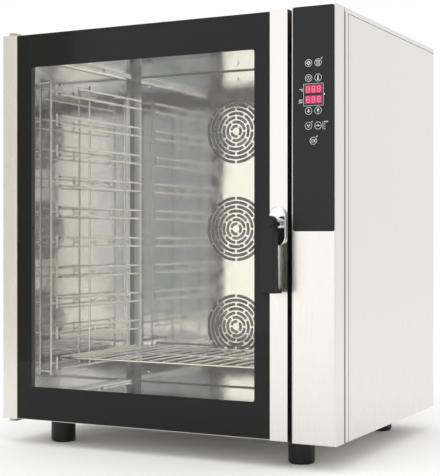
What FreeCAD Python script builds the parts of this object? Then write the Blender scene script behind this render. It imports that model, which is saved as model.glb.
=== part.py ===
import FreeCAD, Part
import math
import os

Vector = FreeCAD.Vector

# A ten-level combi oven with a glass door hinged on the left and a control column on the right.
# Lengths are millimetres. While modelling, x runs right from the left edge of the body, y runs back
# from the front plane of door and column, and z runs up from the floor. The finished pieces are moved
# so that the origin is the centre of the floor outline.

# Outer body
BODY_WIDTH = 922.0
FRONT_DEPTH = 56.0
SHEET = 1.5
FRAME_RETURN = 28.0
WIRING_INSET = 22.0
WIRING_END_INSET = 60.0
PANEL_SEAM = 1.0
COVER_LIP = 11.0
PANEL_FLANGE = 16.0
PAN_FLANGE = 22.0
SCREW_PITCH = 180.0
SCREW_RADIUS = 2.0
SCREW_HEAD_RADIUS = 4.5
SCREW_HEAD_HEIGHT = 2.4

# Feet
FOOT_HEIGHT = 60.0
FOOT_RADIUS = 31.5
FOOT_INSET_SIDE = 123.0
FOOT_INSET_FRONT = 38.0
FOOT_INSET_BACK = 101.0
FOOT_STUD_RADIUS = 5.0
FOOT_STUD_LENGTH = 16.0
FOOT_BOSS_RADIUS = 10.0
FOOT_EDGE = 4.0

# Column and controls
COLUMN_WIDTH = 106.0
COLUMN_RADIUS = 3.0
COLUMN_SEAM = 3.0
COLUMN_RIM = 6.0
OVERLAY_MARGIN = 2.5
OVERLAY_HEIGHT = 509.0
OVERLAY_THICKNESS = 2.0
OVERLAY_RADIUS = 5.0
KEY_RADIUS = 9.2
KEY_SPACING = 23.2
KEY_PITCH = 34.0
KEY_TOP_DROP = 131.4
KEY_PROUD = 0.6
KEY_TRAVEL = 0.6
KEY_STEM = 2.5
SWITCH_RADIUS = 3.0
DISPLAY_DROP = 74.0
DISPLAY_WIDTH = 42.0
DISPLAY_HEIGHT = 18.6
DISPLAY_GAP = 4.8
BOARD_THICKNESS = 1.6
BOARD_Y = 8.0
BOARD_MARGIN = 12.0

# Door
DOOR_GAP = 12.0
DOOR_BOTTOM_GAP = 3.0
DOOR_TOP_GAP = 4.0
STILE_WIDTH = 44.0
STILE_DEPTH = 30.0
STILE_WALL = 1.5
GLASS_SETBACK = 1.5
GLASS_END_GAP = 2.0
OUTER_GLASS = 5.0
PRINT_THICKNESS = 0.3
BORDER_SIDE = 42.0
BORDER_END = 85.5
WINDOW_RADIUS = 6.0
RAIL_HEIGHT = 16.0
INNER_DEPTH = 12.0
INNER_LAP = 8.0
INNER_END_GAP = 15.0
INNER_MARGIN_SIDE = 28.0
INNER_MARGIN_END = 70.0
INNER_GLASS = 4.0
INNER_GLASS_LAP = 12.0
SPACER_RADIUS = 6.0
SPACER_PAD = 3.0

# Hinges
HINGE_PIN_RADIUS = 6.0
HINGE_PIN_LENGTH = 26.0
HINGE_ARM = 7.0
HINGE_ARM_WIDTH = 20.0
HINGE_PLATE = 4.0
HINGE_PLATE_LENGTH = 70.0
BUSH_LENGTH = 40.0

# Handle and latch
HANDLE_HEIGHT = 500.0
HANDLE_REACH = 60.0
LEVER_THICKNESS = 22.0
LEVER_TOP_RADIUS = 15.0
LEVER_END_WIDTH = 35.0
LEVER_LENGTH = 156.5
LEVER_HEAD_RISE = 4.0
LEVER_LIP = 18.0
LEVER_LIP_HEIGHT = 9.0
LEVER_CAP_RADIUS = 13.0
LEVER_CAP_HEIGHT = 2.0
LEVER_EDGE = 3.0
LEVER_BORE_DEPTH = 12.0
ESCUTCHEON_WIDTH = 42.0
ESCUTCHEON_HEIGHT = 90.0
ESCUTCHEON_DROP = 5.0
ESCUTCHEON_THICKNESS = 8.0
ESCUTCHEON_EDGE = 3.0
NECK_RADIUS = 14.0
SPINDLE_RADIUS = 6.0
NOSE_LENGTH = 20.0
NOSE_WIDTH = 12.0
NOSE_THICKNESS = 6.0
NOSE_GAP = 5.5
NOSE_WALL = 3.0
KEEPER_SHEET = 3.0
CATCH_DROP = 46.0
TONGUE_WIDTH = 12.0
TONGUE_LENGTH = 15.0
TONGUE_THICKNESS = 6.0
ROLLER_RADIUS = 5.0
ROLLER_LENGTH = 18.0

# Oven cavity
CAVITY_HEIGHT = 900.0
CAVITY_SIDE = 62.0
CAVITY_FLOOR = 45.0
CAVITY_CEILING = 50.0
CAVITY_RADIUS = 14.0
LINER_SHEET = 1.2
GASKET_WIDTH = 12.0
GASKET_MARGIN = 4.0
INSULATION = 30.0

# Racks and shelf
LEVEL_PITCH = 80.0
TOP_SPACE = 75.0
BOTTOM_SPACE = 100.0
RUNNER_GAP = 24.0
RUNNER_FRONT = 44.0
RUNNER_LENGTH = 410.0
RUNNER_REAR = 39.0
RUNNER_INSET = 50.0
STOP_INSET = 36.0
STOP_RISE = 6.0
POST_INSET = 17.0
POST_FRONT_INSET = 4.0
POST_REAR_INSET = 41.0
POST_RADIUS = 3.0
WIRE_RADIUS = 2.5
POST_END = 20.0
STUD_RADIUS = 5.0
SHELF_SIDE_GAP = 1.5
SHELF_REAR_GAP = 10.0
SHELF_FRAME_RADIUS = 3.0
SHELF_WIRE_RADIUS = 2.0
SHELF_WIRE_PITCH = 40.0
SHELF_CORNER = 14.0

# Fans, baffle, heaters and water
FAN_COUNT = 3
FAN_END_SPACE = 172.0
FAN_CHAMBER = 75.0
FAN_RADIUS = 85.0
FAN_DEPTH = 45.0
FAN_BLADES = 12
FAN_BLADE = 1.5
FAN_PLATE = 2.0
FAN_BLADE_ROOT = 42.0
FAN_BACK_GAP = 14.0
HUB_RADIUS = 18.0
SHAFT_RADIUS = 7.0
NUT_RADIUS = 10.0
NUT_HEIGHT = 6.0
BAFFLE_SIDE_GAP = 26.0
BAFFLE_TOP_GAP = 3.5
BAFFLE_BOTTOM_GAP = 3.5
BAFFLE_FOLD = 20.0
BAFFLE_SCREW_INSET = 20.0
BAFFLE_POST_RADIUS = 4.0
BAFFLE_KNOB_RADIUS = 8.0
BAFFLE_KNOB_HEIGHT = 5.0
RING_COUNT = 7
INNER_RINGS = 2
INNER_SLOTS = 3
OUTER_SLOTS = 6
RING_FIRST = 14.5
RING_PITCH = 12.2
SLOT_WIDTH = 8.6
SLOT_BRIDGE = 4.0
HEATER_RADIUS = 104.0
HEATER_TUBE = 4.2
HEATER_START = 318.0
HEATER_GAP_ANGLE = 24.0
HEATER_BEND = 9.0
HEATER_WALL_GAP = 32.0
HEATER_TERMINAL = 18.0
INJECTOR_RADIUS = 4.0
INJECTOR_ANGLE = 134.0
INJECTOR_REACH = 128.0
INJECTOR_END = 30.0
INJECTOR_BEND = 10.0
INJECTOR_GAP = 6.0
MANIFOLD_RADIUS = 7.0
MANIFOLD_SETBACK = 45.0
MOTOR_RADIUS = 52.0
MOTOR_LENGTH = 70.0
MOTOR_REAR_GAP = 12.8
MOTOR_FLANGE = 62.0
MOTOR_FLANGE_THICKNESS = 5.0
SHAFT_IN_MOTOR = 55.0

# Services at the back
REAR_REACH = 30.0
VENT_RADIUS = 20.0
VENT_INSET = 60.0
DRAIN_RADIUS = 16.0
PIPE_WALL = 1.5
PIPE_COLLAR = 6.0
PIPE_COLLAR_THICKNESS = 3.0
DRAIN_DROP = 22.0
INLET_RADIUS = 13.2
INLET_WALL = 4.5
INLET_LENGTH = 18.0
INLET_HEX = 18.0
INLET_HEX_THICKNESS = 6.0
VALVE_WIDTH = 40.0
VALVE_DEPTH = 58.0
VALVE_HEIGHT = 46.0
VALVE_RISE = 50.0
GLAND_RADIUS = 17.0
GLAND_BORE = 9.0
GLAND_LENGTH = 26.0
GLAND_FLANGE = 22.0
GLAND_FLANGE_THICKNESS = 5.0
GLAND_INSET = 70.0
GLAND_RISE = 60.0
AIR_SLOT_LENGTH = 90.0
AIR_SLOT_WIDTH = 7.0
AIR_SLOT_PITCH = 20.0
AIR_SLOT_ROWS = 9
AIR_SLOT_SPREAD = 230.0

# Electrics
ELECTRICS_MARGIN = 60.0
CONTACTOR_COUNT = 3
CONTACTOR_WIDTH = 45.0
CONTACTOR_HEIGHT = 78.0
CONTACTOR_DEPTH = 70.0
CONTACTOR_BASE = 35.0
CONTACTOR_STEP = 19.5
CONTACTOR_PITCH = 60.0
CONTACTOR_RISE = 420.0
TERMINAL_PITCH = 24.0
TERMINAL_HOLE = 5.3
TERMINAL_HEIGHT = 34.0
TERMINAL_DEPTH = 32.0
TERMINAL_RISE = 120.0
TERMINAL_WAYS = 5

# Clearances
RUNNING_FIT = 0.05
MOVING_GAP = 0.3
WELD_GAP = 0.1
HOLE_GAP = 0.5
SAME_PLACE = 1e-6

# Places worked out from the sizes above
BODY_HEIGHT = CAVITY_FLOOR + CAVITY_HEIGHT + CAVITY_CEILING
Z_BASE = FOOT_HEIGHT
Z_TOP = FOOT_HEIGHT + BODY_HEIGHT
Y_FRAME = FRONT_DEPTH
COLUMN_X = BODY_WIDTH - COLUMN_WIDTH
COLUMN_MID = COLUMN_X + COLUMN_WIDTH / 2
DOOR_WIDTH = COLUMN_X - DOOR_GAP
DOOR_Z = (Z_BASE + DOOR_BOTTOM_GAP, Z_TOP - DOOR_TOP_GAP)
GLASS_X = (STILE_WIDTH, DOOR_WIDTH - STILE_WIDTH)
GLASS_BACK = GLASS_SETBACK + OUTER_GLASS
PRINT_BACK = GLASS_BACK + PRINT_THICKNESS
DOOR_BACK = STILE_DEPTH + INNER_DEPTH
HINGE_X = STILE_WIDTH / 2
HINGE_Y = STILE_DEPTH / 2
HANDLE_X = DOOR_WIDTH - STILE_WIDTH / 2
HANDLE_Z = Z_BASE + HANDLE_HEIGHT
CATCH_Z = HANDLE_Z - CATCH_DROP
CAVITY_MID = DOOR_WIDTH / 2
CAVITY_X = (CAVITY_SIDE, DOOR_WIDTH - CAVITY_SIDE)
CAVITY_Z = (Z_BASE + CAVITY_FLOOR, Z_BASE + CAVITY_FLOOR + CAVITY_HEIGHT)
RUNNER_Y = (Y_FRAME + RUNNER_FRONT, Y_FRAME + RUNNER_FRONT + RUNNER_LENGTH)
BAFFLE_Y = RUNNER_Y[1] + RUNNER_REAR
CAVITY_BACK = BAFFLE_Y + FAN_CHAMBER
LINER_BACK = CAVITY_BACK + LINER_SHEET
MOTOR_FACE = LINER_BACK + INSULATION
MOTOR_FRONT = MOTOR_FACE + SHEET
Y_BACK = MOTOR_FRONT + MOTOR_LENGTH + MOTOR_REAR_GAP + SHEET
FAN_PITCH = (CAVITY_HEIGHT - 2 * FAN_END_SPACE) / (FAN_COUNT - 1)
FAN_Z = [CAVITY_Z[0] + FAN_END_SPACE + FAN_PITCH * index for index in range(FAN_COUNT)]
FAN_NAMES = ["bottom", "middle", "top"]
FAN_BACK = CAVITY_BACK - FAN_BACK_GAP
HEATER_Y = CAVITY_BACK - HEATER_WALL_GAP
INJECTOR_Y = BAFFLE_Y + SHEET + INJECTOR_GAP
MANIFOLD_Y = MOTOR_FACE + MANIFOLD_SETBACK
SHELF_SIDE = STOP_INSET + WIRE_RADIUS + SHELF_SIDE_GAP
SHELF_X = (CAVITY_X[0] + SHELF_SIDE, CAVITY_X[1] - SHELF_SIDE)
SHELF_Y = (RUNNER_Y[0], RUNNER_Y[1] - SHELF_REAR_GAP)
LEVELS = 1 + int((CAVITY_HEIGHT - TOP_SPACE - BOTTOM_SPACE) // LEVEL_PITCH)
TOP_RUNNER_Z = CAVITY_Z[1] - TOP_SPACE
BOTTOM_RUNNER_Z = TOP_RUNNER_Z - (LEVELS - 1) * LEVEL_PITCH
POST_ENDS = (RUNNER_Y[0] + POST_FRONT_INSET, RUNNER_Y[1] - POST_REAR_INSET)
POST_Y = (POST_ENDS[0], sum(POST_ENDS) / 2, POST_ENDS[1])
POST_Z = (BOTTOM_RUNNER_Z - RUNNER_GAP - POST_END, TOP_RUNNER_Z + POST_END)
KEY_COLUMNS = (COLUMN_MID - KEY_SPACING / 2, COLUMN_MID + KEY_SPACING / 2)
KEY_Z = Z_TOP - KEY_TOP_DROP
KEY_ROWS = [KEY_Z, KEY_Z - KEY_PITCH]
KEY_ROWS += [KEY_ROWS[1] - DISPLAY_DROP - KEY_PITCH * i for i in range(3)]
KEY_NAMES = [("lamp", "program"), ("timer", "temperature"), ("down", "up"), ("fan", "steam"), ("start",)]
DISPLAY_Z = KEY_ROWS[1] - DISPLAY_DROP / 2
VENT_X = CAVITY_X[1] - VENT_INSET
VENT_Z = CAVITY_Z[1] - VENT_INSET
DRAIN_Y = CAVITY_BACK - FAN_CHAMBER / 2
DRAIN_Z = CAVITY_Z[0] - LINER_SHEET - DRAIN_DROP
VALVE_X = CAVITY_MID + INJECTOR_REACH * math.cos(math.radians(INJECTOR_ANGLE))
VALVE_Z = Z_BASE + VALVE_RISE
GLAND_X = BODY_WIDTH - GLAND_INSET
GLAND_Z = Z_BASE + GLAND_RISE
ELECTRICS_X = CAVITY_X[1] + LINER_SHEET + INSULATION
ORIGIN_SHIFT = Vector(-BODY_WIDTH / 2, (HANDLE_REACH + LEVER_CAP_HEIGHT - Y_BACK - REAR_REACH) / 2, 0)


# Shape helpers

def box(x, y, z):
    """Block from three (low, high) pairs."""
    return Part.makeBox(x[1] - x[0], y[1] - y[0], z[1] - z[0], Vector(x[0], y[0], z[0]))


def rod(start, end, radius):
    """Round bar between two points."""
    line = Vector(*end) - Vector(*start)
    return Part.makeCylinder(radius, line.Length, Vector(*start), line)


def tube(start, end, radius, bore):
    return rod(start, end, radius).cut(rod(start, end, bore))


def join(shapes):
    return shapes[0].multiFuse(shapes[1:]).removeSplitter()


def circle(x, y, z, radius):
    """Round outline facing the front."""
    return Part.Wire(Part.Circle(Vector(x, y, z), Vector(0, 1, 0), radius).toShape())


def rectangle(x, y, z, radius=0.0):
    """Outline facing the front at depth y, with rounded corners if a radius is given."""
    if radius == 0.0:
        corners = [(x[0], z[0]), (x[1], z[0]), (x[1], z[1]), (x[0], z[1]), (x[0], z[0])]
        return Part.makePolygon([Vector(u, y, w) for u, w in corners])
    edges = []
    turns = [(x[1] - radius, z[0] + radius, 270), (x[1] - radius, z[1] - radius, 0),
             (x[0] + radius, z[1] - radius, 90), (x[0] + radius, z[0] + radius, 180)]
    arcs = [[polar(u, y, w, radius, angle + step) for step in (0, 45, 90)] for u, w, angle in turns]
    for index, arc in enumerate(arcs):
        corner_end = arcs[index - 1][2]
        if corner_end.distanceToPoint(arc[0]) > SAME_PLACE:
            edges.append(Part.LineSegment(corner_end, arc[0]).toShape())
        edges.append(Part.Arc(*arc).toShape())
    return Part.Wire(edges)


def polar(x, y, z, radius, angle):
    """Point at an angle round a centre in the front view, counted from +x towards +z."""
    turn = math.radians(angle)
    return Vector(x + radius * math.cos(turn), y, z + radius * math.sin(turn))


def panel(outline, holes, thickness):
    """Flat plate with holes, thickened backwards from its outline."""
    face = Part.makeFace([outline] + holes, "Part::FaceMakerBullseye")
    return face.extrude(Vector(0, thickness, 0))


def grow(pair, amount):
    return (pair[0] - amount, pair[1] + amount)


def round_front_edges(shape, y, radius):
    """Fillet of the edges that lie wholly in the plane at depth y."""
    edges = []
    for edge in shape.Edges:
        span = edge.BoundBox
        if abs(span.YMin - y) < SAME_PLACE and span.YLength < SAME_PLACE:
            edges.append(edge)
    return shape.makeFillet(radius, edges)


# Body casing

def foot_places():
    for x in (FOOT_INSET_SIDE, BODY_WIDTH - FOOT_INSET_SIDE):
        for y in (Y_FRAME + FOOT_INSET_FRONT, Y_BACK - FOOT_INSET_BACK):
            yield x, y


def screw_places():
    """Screws down both edges of the back panel."""
    count = int((BODY_HEIGHT - 2 * PAN_FLANGE) // SCREW_PITCH)
    start = (Z_BASE + Z_TOP - COVER_LIP - count * SCREW_PITCH) / 2
    for x in (SHEET + PANEL_FLANGE / 2, BODY_WIDTH - SHEET - PANEL_FLANGE / 2):
        for index in range(count + 1):
            yield x, start + index * SCREW_PITCH


def base_pan():
    x = (2 * SHEET, BODY_WIDTH - 2 * SHEET)
    y = (Y_FRAME + FRAME_RETURN + PANEL_SEAM, Y_BACK - 2 * SHEET)
    pieces = [box(x, y, (Z_BASE, Z_BASE + SHEET))]
    for edge in (x[0], x[1] - SHEET):
        pieces.append(box((edge, edge + SHEET), (y[0] + PANEL_FLANGE, y[1] - PANEL_FLANGE),
                          (Z_BASE, Z_BASE + PAN_FLANGE)))
    bores = []
    for fx, fy in foot_places():
        top = Z_BASE + FOOT_STUD_LENGTH
        pieces.append(rod((fx, fy, Z_BASE), (fx, fy, top), FOOT_BOSS_RADIUS))
        bores.append(rod((fx, fy, Z_BASE), (fx, fy, top), FOOT_STUD_RADIUS + RUNNING_FIT))
    return join(pieces).cut(Part.makeCompound(bores))


def levelling_feet():
    """Round foot with bevelled rims and its stud moulded in."""
    feet = []
    for x, y in foot_places():
        body = rod((x, y, 0), (x, y, FOOT_HEIGHT), FOOT_RADIUS)
        rims = [e for e in body.Edges if e.Curve.TypeId == "Part::GeomCircle"]
        body = body.makeChamfer(FOOT_EDGE, rims)
        stud = rod((x, y, 0), (x, y, FOOT_HEIGHT + FOOT_STUD_LENGTH), FOOT_STUD_RADIUS)
        feet.append(body.fuse(stud).removeSplitter())
    return feet


def front_frame():
    """Face plate round the oven opening with returns along all four outer edges."""
    x = (SHEET, BODY_WIDTH - SHEET)
    z = (Z_BASE, Z_TOP - SHEET)
    y = (Y_FRAME, Y_FRAME + FRAME_RETURN)
    opening = rectangle(CAVITY_X, Y_FRAME, CAVITY_Z, CAVITY_RADIUS)
    wiring = rectangle(grow((COLUMN_X, BODY_WIDTH), -WIRING_INSET), Y_FRAME, grow(z, -WIRING_END_INSET))
    face = panel(rectangle(x, Y_FRAME, z), [opening, wiring], SHEET)
    rim = box(x, y, z).cut(box(grow(x, -SHEET), grow(y, SHEET), grow(z, -SHEET)))
    return join([face, rim])


def side_panel(outer, inward):
    """Plain outer sheet with flanges folded in at the front and the back."""
    x = sorted((outer, outer + inward * SHEET))
    fold = sorted((outer, outer + inward * PANEL_FLANGE))
    y = (Y_FRAME + FRAME_RETURN + PANEL_SEAM, Y_BACK - SHEET)
    z = (Z_BASE, Z_TOP - SHEET)
    low_flange = (Z_BASE + 2 * SHEET, z[1])
    front_fold = box(fold, (y[0], y[0] + SHEET), low_flange)
    back_fold = box(fold, (y[1] - SHEET, y[1]), low_flange)
    holes = [rod((sx, y[0], sz), (sx, Y_BACK, sz), SCREW_RADIUS + RUNNING_FIT) for sx, sz in screw_places()]
    back_fold = back_fold.cut(Part.makeCompound(holes))
    return join([box(x, y, z), front_fold, back_fold])


def top_cover():
    x = (0, BODY_WIDTH)
    y = (Y_FRAME, Y_BACK)
    pieces = [box(x, y, (Z_TOP - SHEET, Z_TOP))]
    lip = (Z_TOP - COVER_LIP, Z_TOP)
    pieces.append(box((0, SHEET), y, lip))
    pieces.append(box((BODY_WIDTH - SHEET, BODY_WIDTH), y, lip))
    pieces.append(box(x, (Y_BACK - SHEET, Y_BACK), lip))
    return join(pieces)


def back_panel():
    """Rear sheet with air slots beside each motor and holes for the services."""
    holes = [circle(x, Y_BACK - SHEET, z, SCREW_RADIUS + RUNNING_FIT) for x, z in screw_places()]
    for fan_z in FAN_Z:
        for side in (-1, 1):
            mid = CAVITY_MID + side * AIR_SLOT_SPREAD / 2
            for row in range(AIR_SLOT_ROWS):
                z = fan_z + AIR_SLOT_PITCH * (row - (AIR_SLOT_ROWS - 1) / 2)
                holes.append(rectangle((mid - AIR_SLOT_LENGTH / 2, mid + AIR_SLOT_LENGTH / 2),
                                       Y_BACK - SHEET, (z - AIR_SLOT_WIDTH / 2, z + AIR_SLOT_WIDTH / 2),
                                       AIR_SLOT_WIDTH / 2))
    holes.append(circle(VENT_X, Y_BACK - SHEET, VENT_Z, VENT_RADIUS + HOLE_GAP))
    holes.append(circle(CAVITY_MID, Y_BACK - SHEET, DRAIN_Z, DRAIN_RADIUS + HOLE_GAP))
    holes.append(circle(VALVE_X, Y_BACK - SHEET, VALVE_Z, INLET_RADIUS + HOLE_GAP))
    holes.append(circle(GLAND_X, Y_BACK - SHEET, GLAND_Z, GLAND_RADIUS))
    outline = rectangle((SHEET, BODY_WIDTH - SHEET), Y_BACK - SHEET, (Z_BASE, Z_TOP - COVER_LIP - PANEL_SEAM))
    return panel(outline, holes, SHEET)


def panel_screws():
    screws = []
    for x, z in screw_places():
        shank = rod((x, Y_BACK - 2 * SHEET, z), (x, Y_BACK, z), SCREW_RADIUS)
        head = Part.makeCone(SCREW_HEAD_RADIUS, SCREW_RADIUS, SCREW_HEAD_HEIGHT, Vector(x, Y_BACK, z),
                             Vector(0, 1, 0))
        screws.append(shank.fuse(head).removeSplitter())
    return screws


# Oven cavity

def back_wall_holes():
    """Centre and radius of everything that passes through the rear wall of the cavity."""
    for fan_z in FAN_Z:
        yield CAVITY_MID, fan_z, SHAFT_RADIUS + HOLE_GAP
        for point, onward in heater_ends(fan_z):
            leg = point + onward * HEATER_BEND
            yield leg.x, leg.z, HEATER_TUBE + HOLE_GAP
        entry = injector_entry(fan_z)
        yield entry.x, entry.z, INJECTOR_RADIUS + HOLE_GAP


def cavity_liner():
    """Rounded box open at the front, with studs for the racks on both side walls."""
    outer_x = grow(CAVITY_X, LINER_SHEET)
    outer_z = grow(CAVITY_Z, LINER_SHEET)
    radius = CAVITY_RADIUS + LINER_SHEET
    start = Y_FRAME + SHEET
    shell = panel(rectangle(outer_x, start, outer_z, radius),
                  [rectangle(CAVITY_X, start, CAVITY_Z, CAVITY_RADIUS)], CAVITY_BACK - start)
    holes = [circle(x, CAVITY_BACK, z, r) for x, z, r in back_wall_holes()]
    holes.append(circle(VENT_X, CAVITY_BACK, VENT_Z, VENT_RADIUS - PIPE_WALL))
    wall = panel(rectangle(outer_x, CAVITY_BACK, outer_z, radius), holes, LINER_SHEET)
    studs = []
    for y in POST_Y:
        for z in (POST_Z[0] + POST_END / 2, POST_Z[1] - POST_END / 2):
            reach = POST_INSET - POST_RADIUS - WELD_GAP
            studs.append(rod((outer_x[0], y, z), (CAVITY_X[0] + reach, y, z), STUD_RADIUS))
            studs.append(rod((outer_x[1], y, z), (CAVITY_X[1] - reach, y, z), STUD_RADIUS))
    drain = rod((CAVITY_MID, DRAIN_Y, outer_z[0]), (CAVITY_MID, DRAIN_Y, CAVITY_Z[0]),
                DRAIN_RADIUS - PIPE_WALL)
    return join([shell, wall] + studs).cut(drain)


def insulation_slabs():
    """Mineral wool on all five closed sides of the cavity."""
    x = grow(CAVITY_X, LINER_SHEET)
    z = grow(CAVITY_Z, LINER_SHEET)
    y = (Y_FRAME + FRAME_RETURN + PANEL_SEAM + SHEET, LINER_BACK)
    left = box((PANEL_FLANGE + SHEET, x[0]), y, z)
    right = box((x[1], x[1] + INSULATION), y, z)
    upper = box(x, y, (z[1], z[1] + INSULATION))
    reach = DRAIN_RADIUS + HOLE_GAP
    cuts = [rod((CAVITY_MID, DRAIN_Y, Z_BASE), (CAVITY_MID, DRAIN_Y, z[0]), reach)]
    cuts.append(box(grow((CAVITY_MID, CAVITY_MID), reach), (DRAIN_Y, y[1]), (Z_BASE, z[0])))
    for fx, fy in foot_places():
        cuts.append(rod((fx, fy, Z_BASE), (fx, fy, z[0]), FOOT_BOSS_RADIUS + HOLE_GAP))
    lower = box(x, y, (Z_BASE + SHEET, z[0])).cut(Part.makeCompound(cuts))
    holes = [circle(hx, LINER_BACK, hz, r + HOLE_GAP) for hx, hz, r in back_wall_holes()]
    holes.append(circle(VENT_X, LINER_BACK, VENT_Z, VENT_RADIUS + HOLE_GAP))
    rear = panel(rectangle(x, LINER_BACK, z), holes, INSULATION)
    return [left, right, upper, lower, rear]


def door_gasket():
    """Seal round the oven opening, just clear of the closed door."""
    inner_x = grow(CAVITY_X, GASKET_MARGIN)
    inner_z = grow(CAVITY_Z, GASKET_MARGIN)
    start = DOOR_BACK + MOVING_GAP
    inner = rectangle(inner_x, start, inner_z, CAVITY_RADIUS + GASKET_MARGIN)
    outer = rectangle(grow(inner_x, GASKET_WIDTH), start, grow(inner_z, GASKET_WIDTH),
                      CAVITY_RADIUS + GASKET_MARGIN + GASKET_WIDTH)
    return panel(outer, [inner], Y_FRAME - start)


# Racks and shelf

def rack(wall, inward):
    """Three posts with a pair of runner wires per level, held in open brackets on the posts."""
    post_x = wall + inward * POST_INSET
    stop_x = wall + inward * STOP_INSET
    runner_x = wall + inward * RUNNER_INSET
    wires = [rod((post_x, y, POST_Z[0]), (post_x, y, POST_Z[1]), POST_RADIUS) for y in POST_Y]
    link_start = post_x + inward * (POST_RADIUS + WELD_GAP)
    link_end = stop_x - inward * (WIRE_RADIUS + WELD_GAP)
    stub_start = stop_x + inward * (WIRE_RADIUS + WELD_GAP)
    stub_end = runner_x - inward * (WIRE_RADIUS + WELD_GAP)
    for level in range(LEVELS):
        upper = TOP_RUNNER_Z - level * LEVEL_PITCH
        lower = upper - RUNNER_GAP
        middle = (upper + lower) / 2
        for z in (upper, lower):
            wires.append(rod((runner_x, RUNNER_Y[0], z), (runner_x, RUNNER_Y[1], z), WIRE_RADIUS))
        for y in POST_Y:
            wires.append(rod((stop_x, y, lower - WIRE_RADIUS), (stop_x, y, upper + STOP_RISE), WIRE_RADIUS))
            wires.append(rod((link_start, y, middle), (link_end, y, middle), WIRE_RADIUS))
            for z in (upper, lower):
                wires.append(rod((stub_start, y, z), (stub_end, y, z), WIRE_RADIUS))
    return wires


def wire_shelf():
    """Bent frame with depth wires and one cross bar, on the lowest upper runners between the stops."""
    z = BOTTOM_RUNNER_Z + WIRE_RADIUS + MOVING_GAP + SHELF_FRAME_RADIUS
    x = grow(SHELF_X, -SHELF_FRAME_RADIUS)
    y = grow(SHELF_Y, -SHELF_FRAME_RADIUS)
    turn_x = grow(x, -SHELF_CORNER)
    turn_y = grow(y, -SHELF_CORNER)
    pieces = [rod((side, turn_y[0], z), (side, turn_y[1], z), SHELF_FRAME_RADIUS) for side in x]
    pieces += [rod((turn_x[0], end, z), (turn_x[1], end, z), SHELF_FRAME_RADIUS) for end in y]
    corners = [(turn_x[1], turn_y[1]), (turn_x[0], turn_y[1]), (turn_x[0], turn_y[0]), (turn_x[1], turn_y[0])]
    for index, (turn, end) in enumerate(corners):
        centre = Vector(turn, end, z)
        corner = Part.makeTorus(SHELF_CORNER, SHELF_FRAME_RADIUS, centre, Vector(0, 0, 1), 0, 360, 90)
        corner.rotate(centre, Vector(0, 0, 1), 90 * index)
        pieces.append(corner)
    middle = (y[0] + y[1]) / 2
    pieces.append(rod((x[0], middle, z), (x[1], middle, z), SHELF_FRAME_RADIUS))
    wire_z = z + SHELF_FRAME_RADIUS
    gaps = int((SHELF_X[1] - SHELF_X[0]) // SHELF_WIRE_PITCH)
    for index in range(1, gaps):
        wire_x = CAVITY_MID + SHELF_WIRE_PITCH * (index - gaps / 2)
        pieces.append(rod((wire_x, y[0], wire_z), (wire_x, y[1], wire_z), SHELF_WIRE_RADIUS))
    return join(pieces)


# Fans, heaters and water

def heater_ends(fan_z):
    """For both ends of a heater ring: its point on the ring, and the way the tube runs on from there."""
    for angle, way in ((HEATER_START, -1), (HEATER_START + 360 - HEATER_GAP_ANGLE, 1)):
        yield polar(CAVITY_MID, HEATER_Y, fan_z, HEATER_RADIUS, angle), polar(0, 0, 0, way, angle + 90)


def injector_entry(fan_z):
    """Point on the rear wall where a fan's water tube comes in."""
    return polar(CAVITY_MID, 0, fan_z, INJECTOR_REACH, INJECTOR_ANGLE)


def ring_slots(fan_z):
    """Rings of arched slots in front of a fan, with the bridges of one ring beside the slots of the next."""
    for ring in range(RING_COUNT):
        radius = RING_FIRST + ring * RING_PITCH
        count = INNER_SLOTS if ring < INNER_RINGS else OUTER_SLOTS
        step = 360 / count
        trim = math.degrees((SLOT_BRIDGE + SLOT_WIDTH) / 2 / radius)
        offset = step / 2 if ring % 2 == 0 else 0
        for index in range(count):
            low = offset + index * step + trim
            yield arched_slot(fan_z, radius, low, low + step - 2 * trim)


def arched_slot(fan_z, radius, low, high):
    half = SLOT_WIDTH / 2

    def spot(r, angle):
        return polar(CAVITY_MID, BAFFLE_Y, fan_z, r, angle)

    def tip(angle, way):
        return polar(spot(radius, angle).x, BAFFLE_Y, spot(radius, angle).z, half, angle + way * 90)

    middle = (low + high) / 2
    outer = Part.Arc(spot(radius + half, low), spot(radius + half, middle), spot(radius + half, high))
    inner = Part.Arc(spot(radius - half, high), spot(radius - half, middle), spot(radius - half, low))
    far_end = Part.Arc(spot(radius + half, high), tip(high, 1), spot(radius - half, high))
    near_end = Part.Arc(spot(radius - half, low), tip(low, -1), spot(radius + half, low))
    return Part.Wire([edge.toShape() for edge in (outer, far_end, inner, near_end)])


def baffle_span():
    x = grow(CAVITY_X, -BAFFLE_SIDE_GAP)
    z = (CAVITY_Z[0] + BAFFLE_BOTTOM_GAP, CAVITY_Z[1] - BAFFLE_TOP_GAP)
    return x, z


def baffle_screw_places():
    """Knobs down both sides of the baffle, level with the spaces between the fans."""
    x, z = baffle_span()
    for place_x in grow(x, -BAFFLE_SCREW_INSET):
        for place_z in grow(z, -BAFFLE_SCREW_INSET):
            yield place_x, place_z
    yield CAVITY_MID, z[1] - BAFFLE_SCREW_INSET


def fan_baffle():
    """Folded sheet that hides the fans, slotted in front of each."""
    x, z = baffle_span()
    holes = [slot for fan_z in FAN_Z for slot in ring_slots(fan_z)]
    holes += [circle(px, BAFFLE_Y, pz, BAFFLE_POST_RADIUS + RUNNING_FIT) for px, pz in baffle_screw_places()]
    sheet = panel(rectangle(x, BAFFLE_Y, z), holes, SHEET)
    fold_y = (BAFFLE_Y, BAFFLE_Y + BAFFLE_FOLD)
    folds = [box((x[0], x[0] + SHEET), fold_y, z), box((x[1] - SHEET, x[1]), fold_y, z)]
    return join([sheet] + folds)


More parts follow.
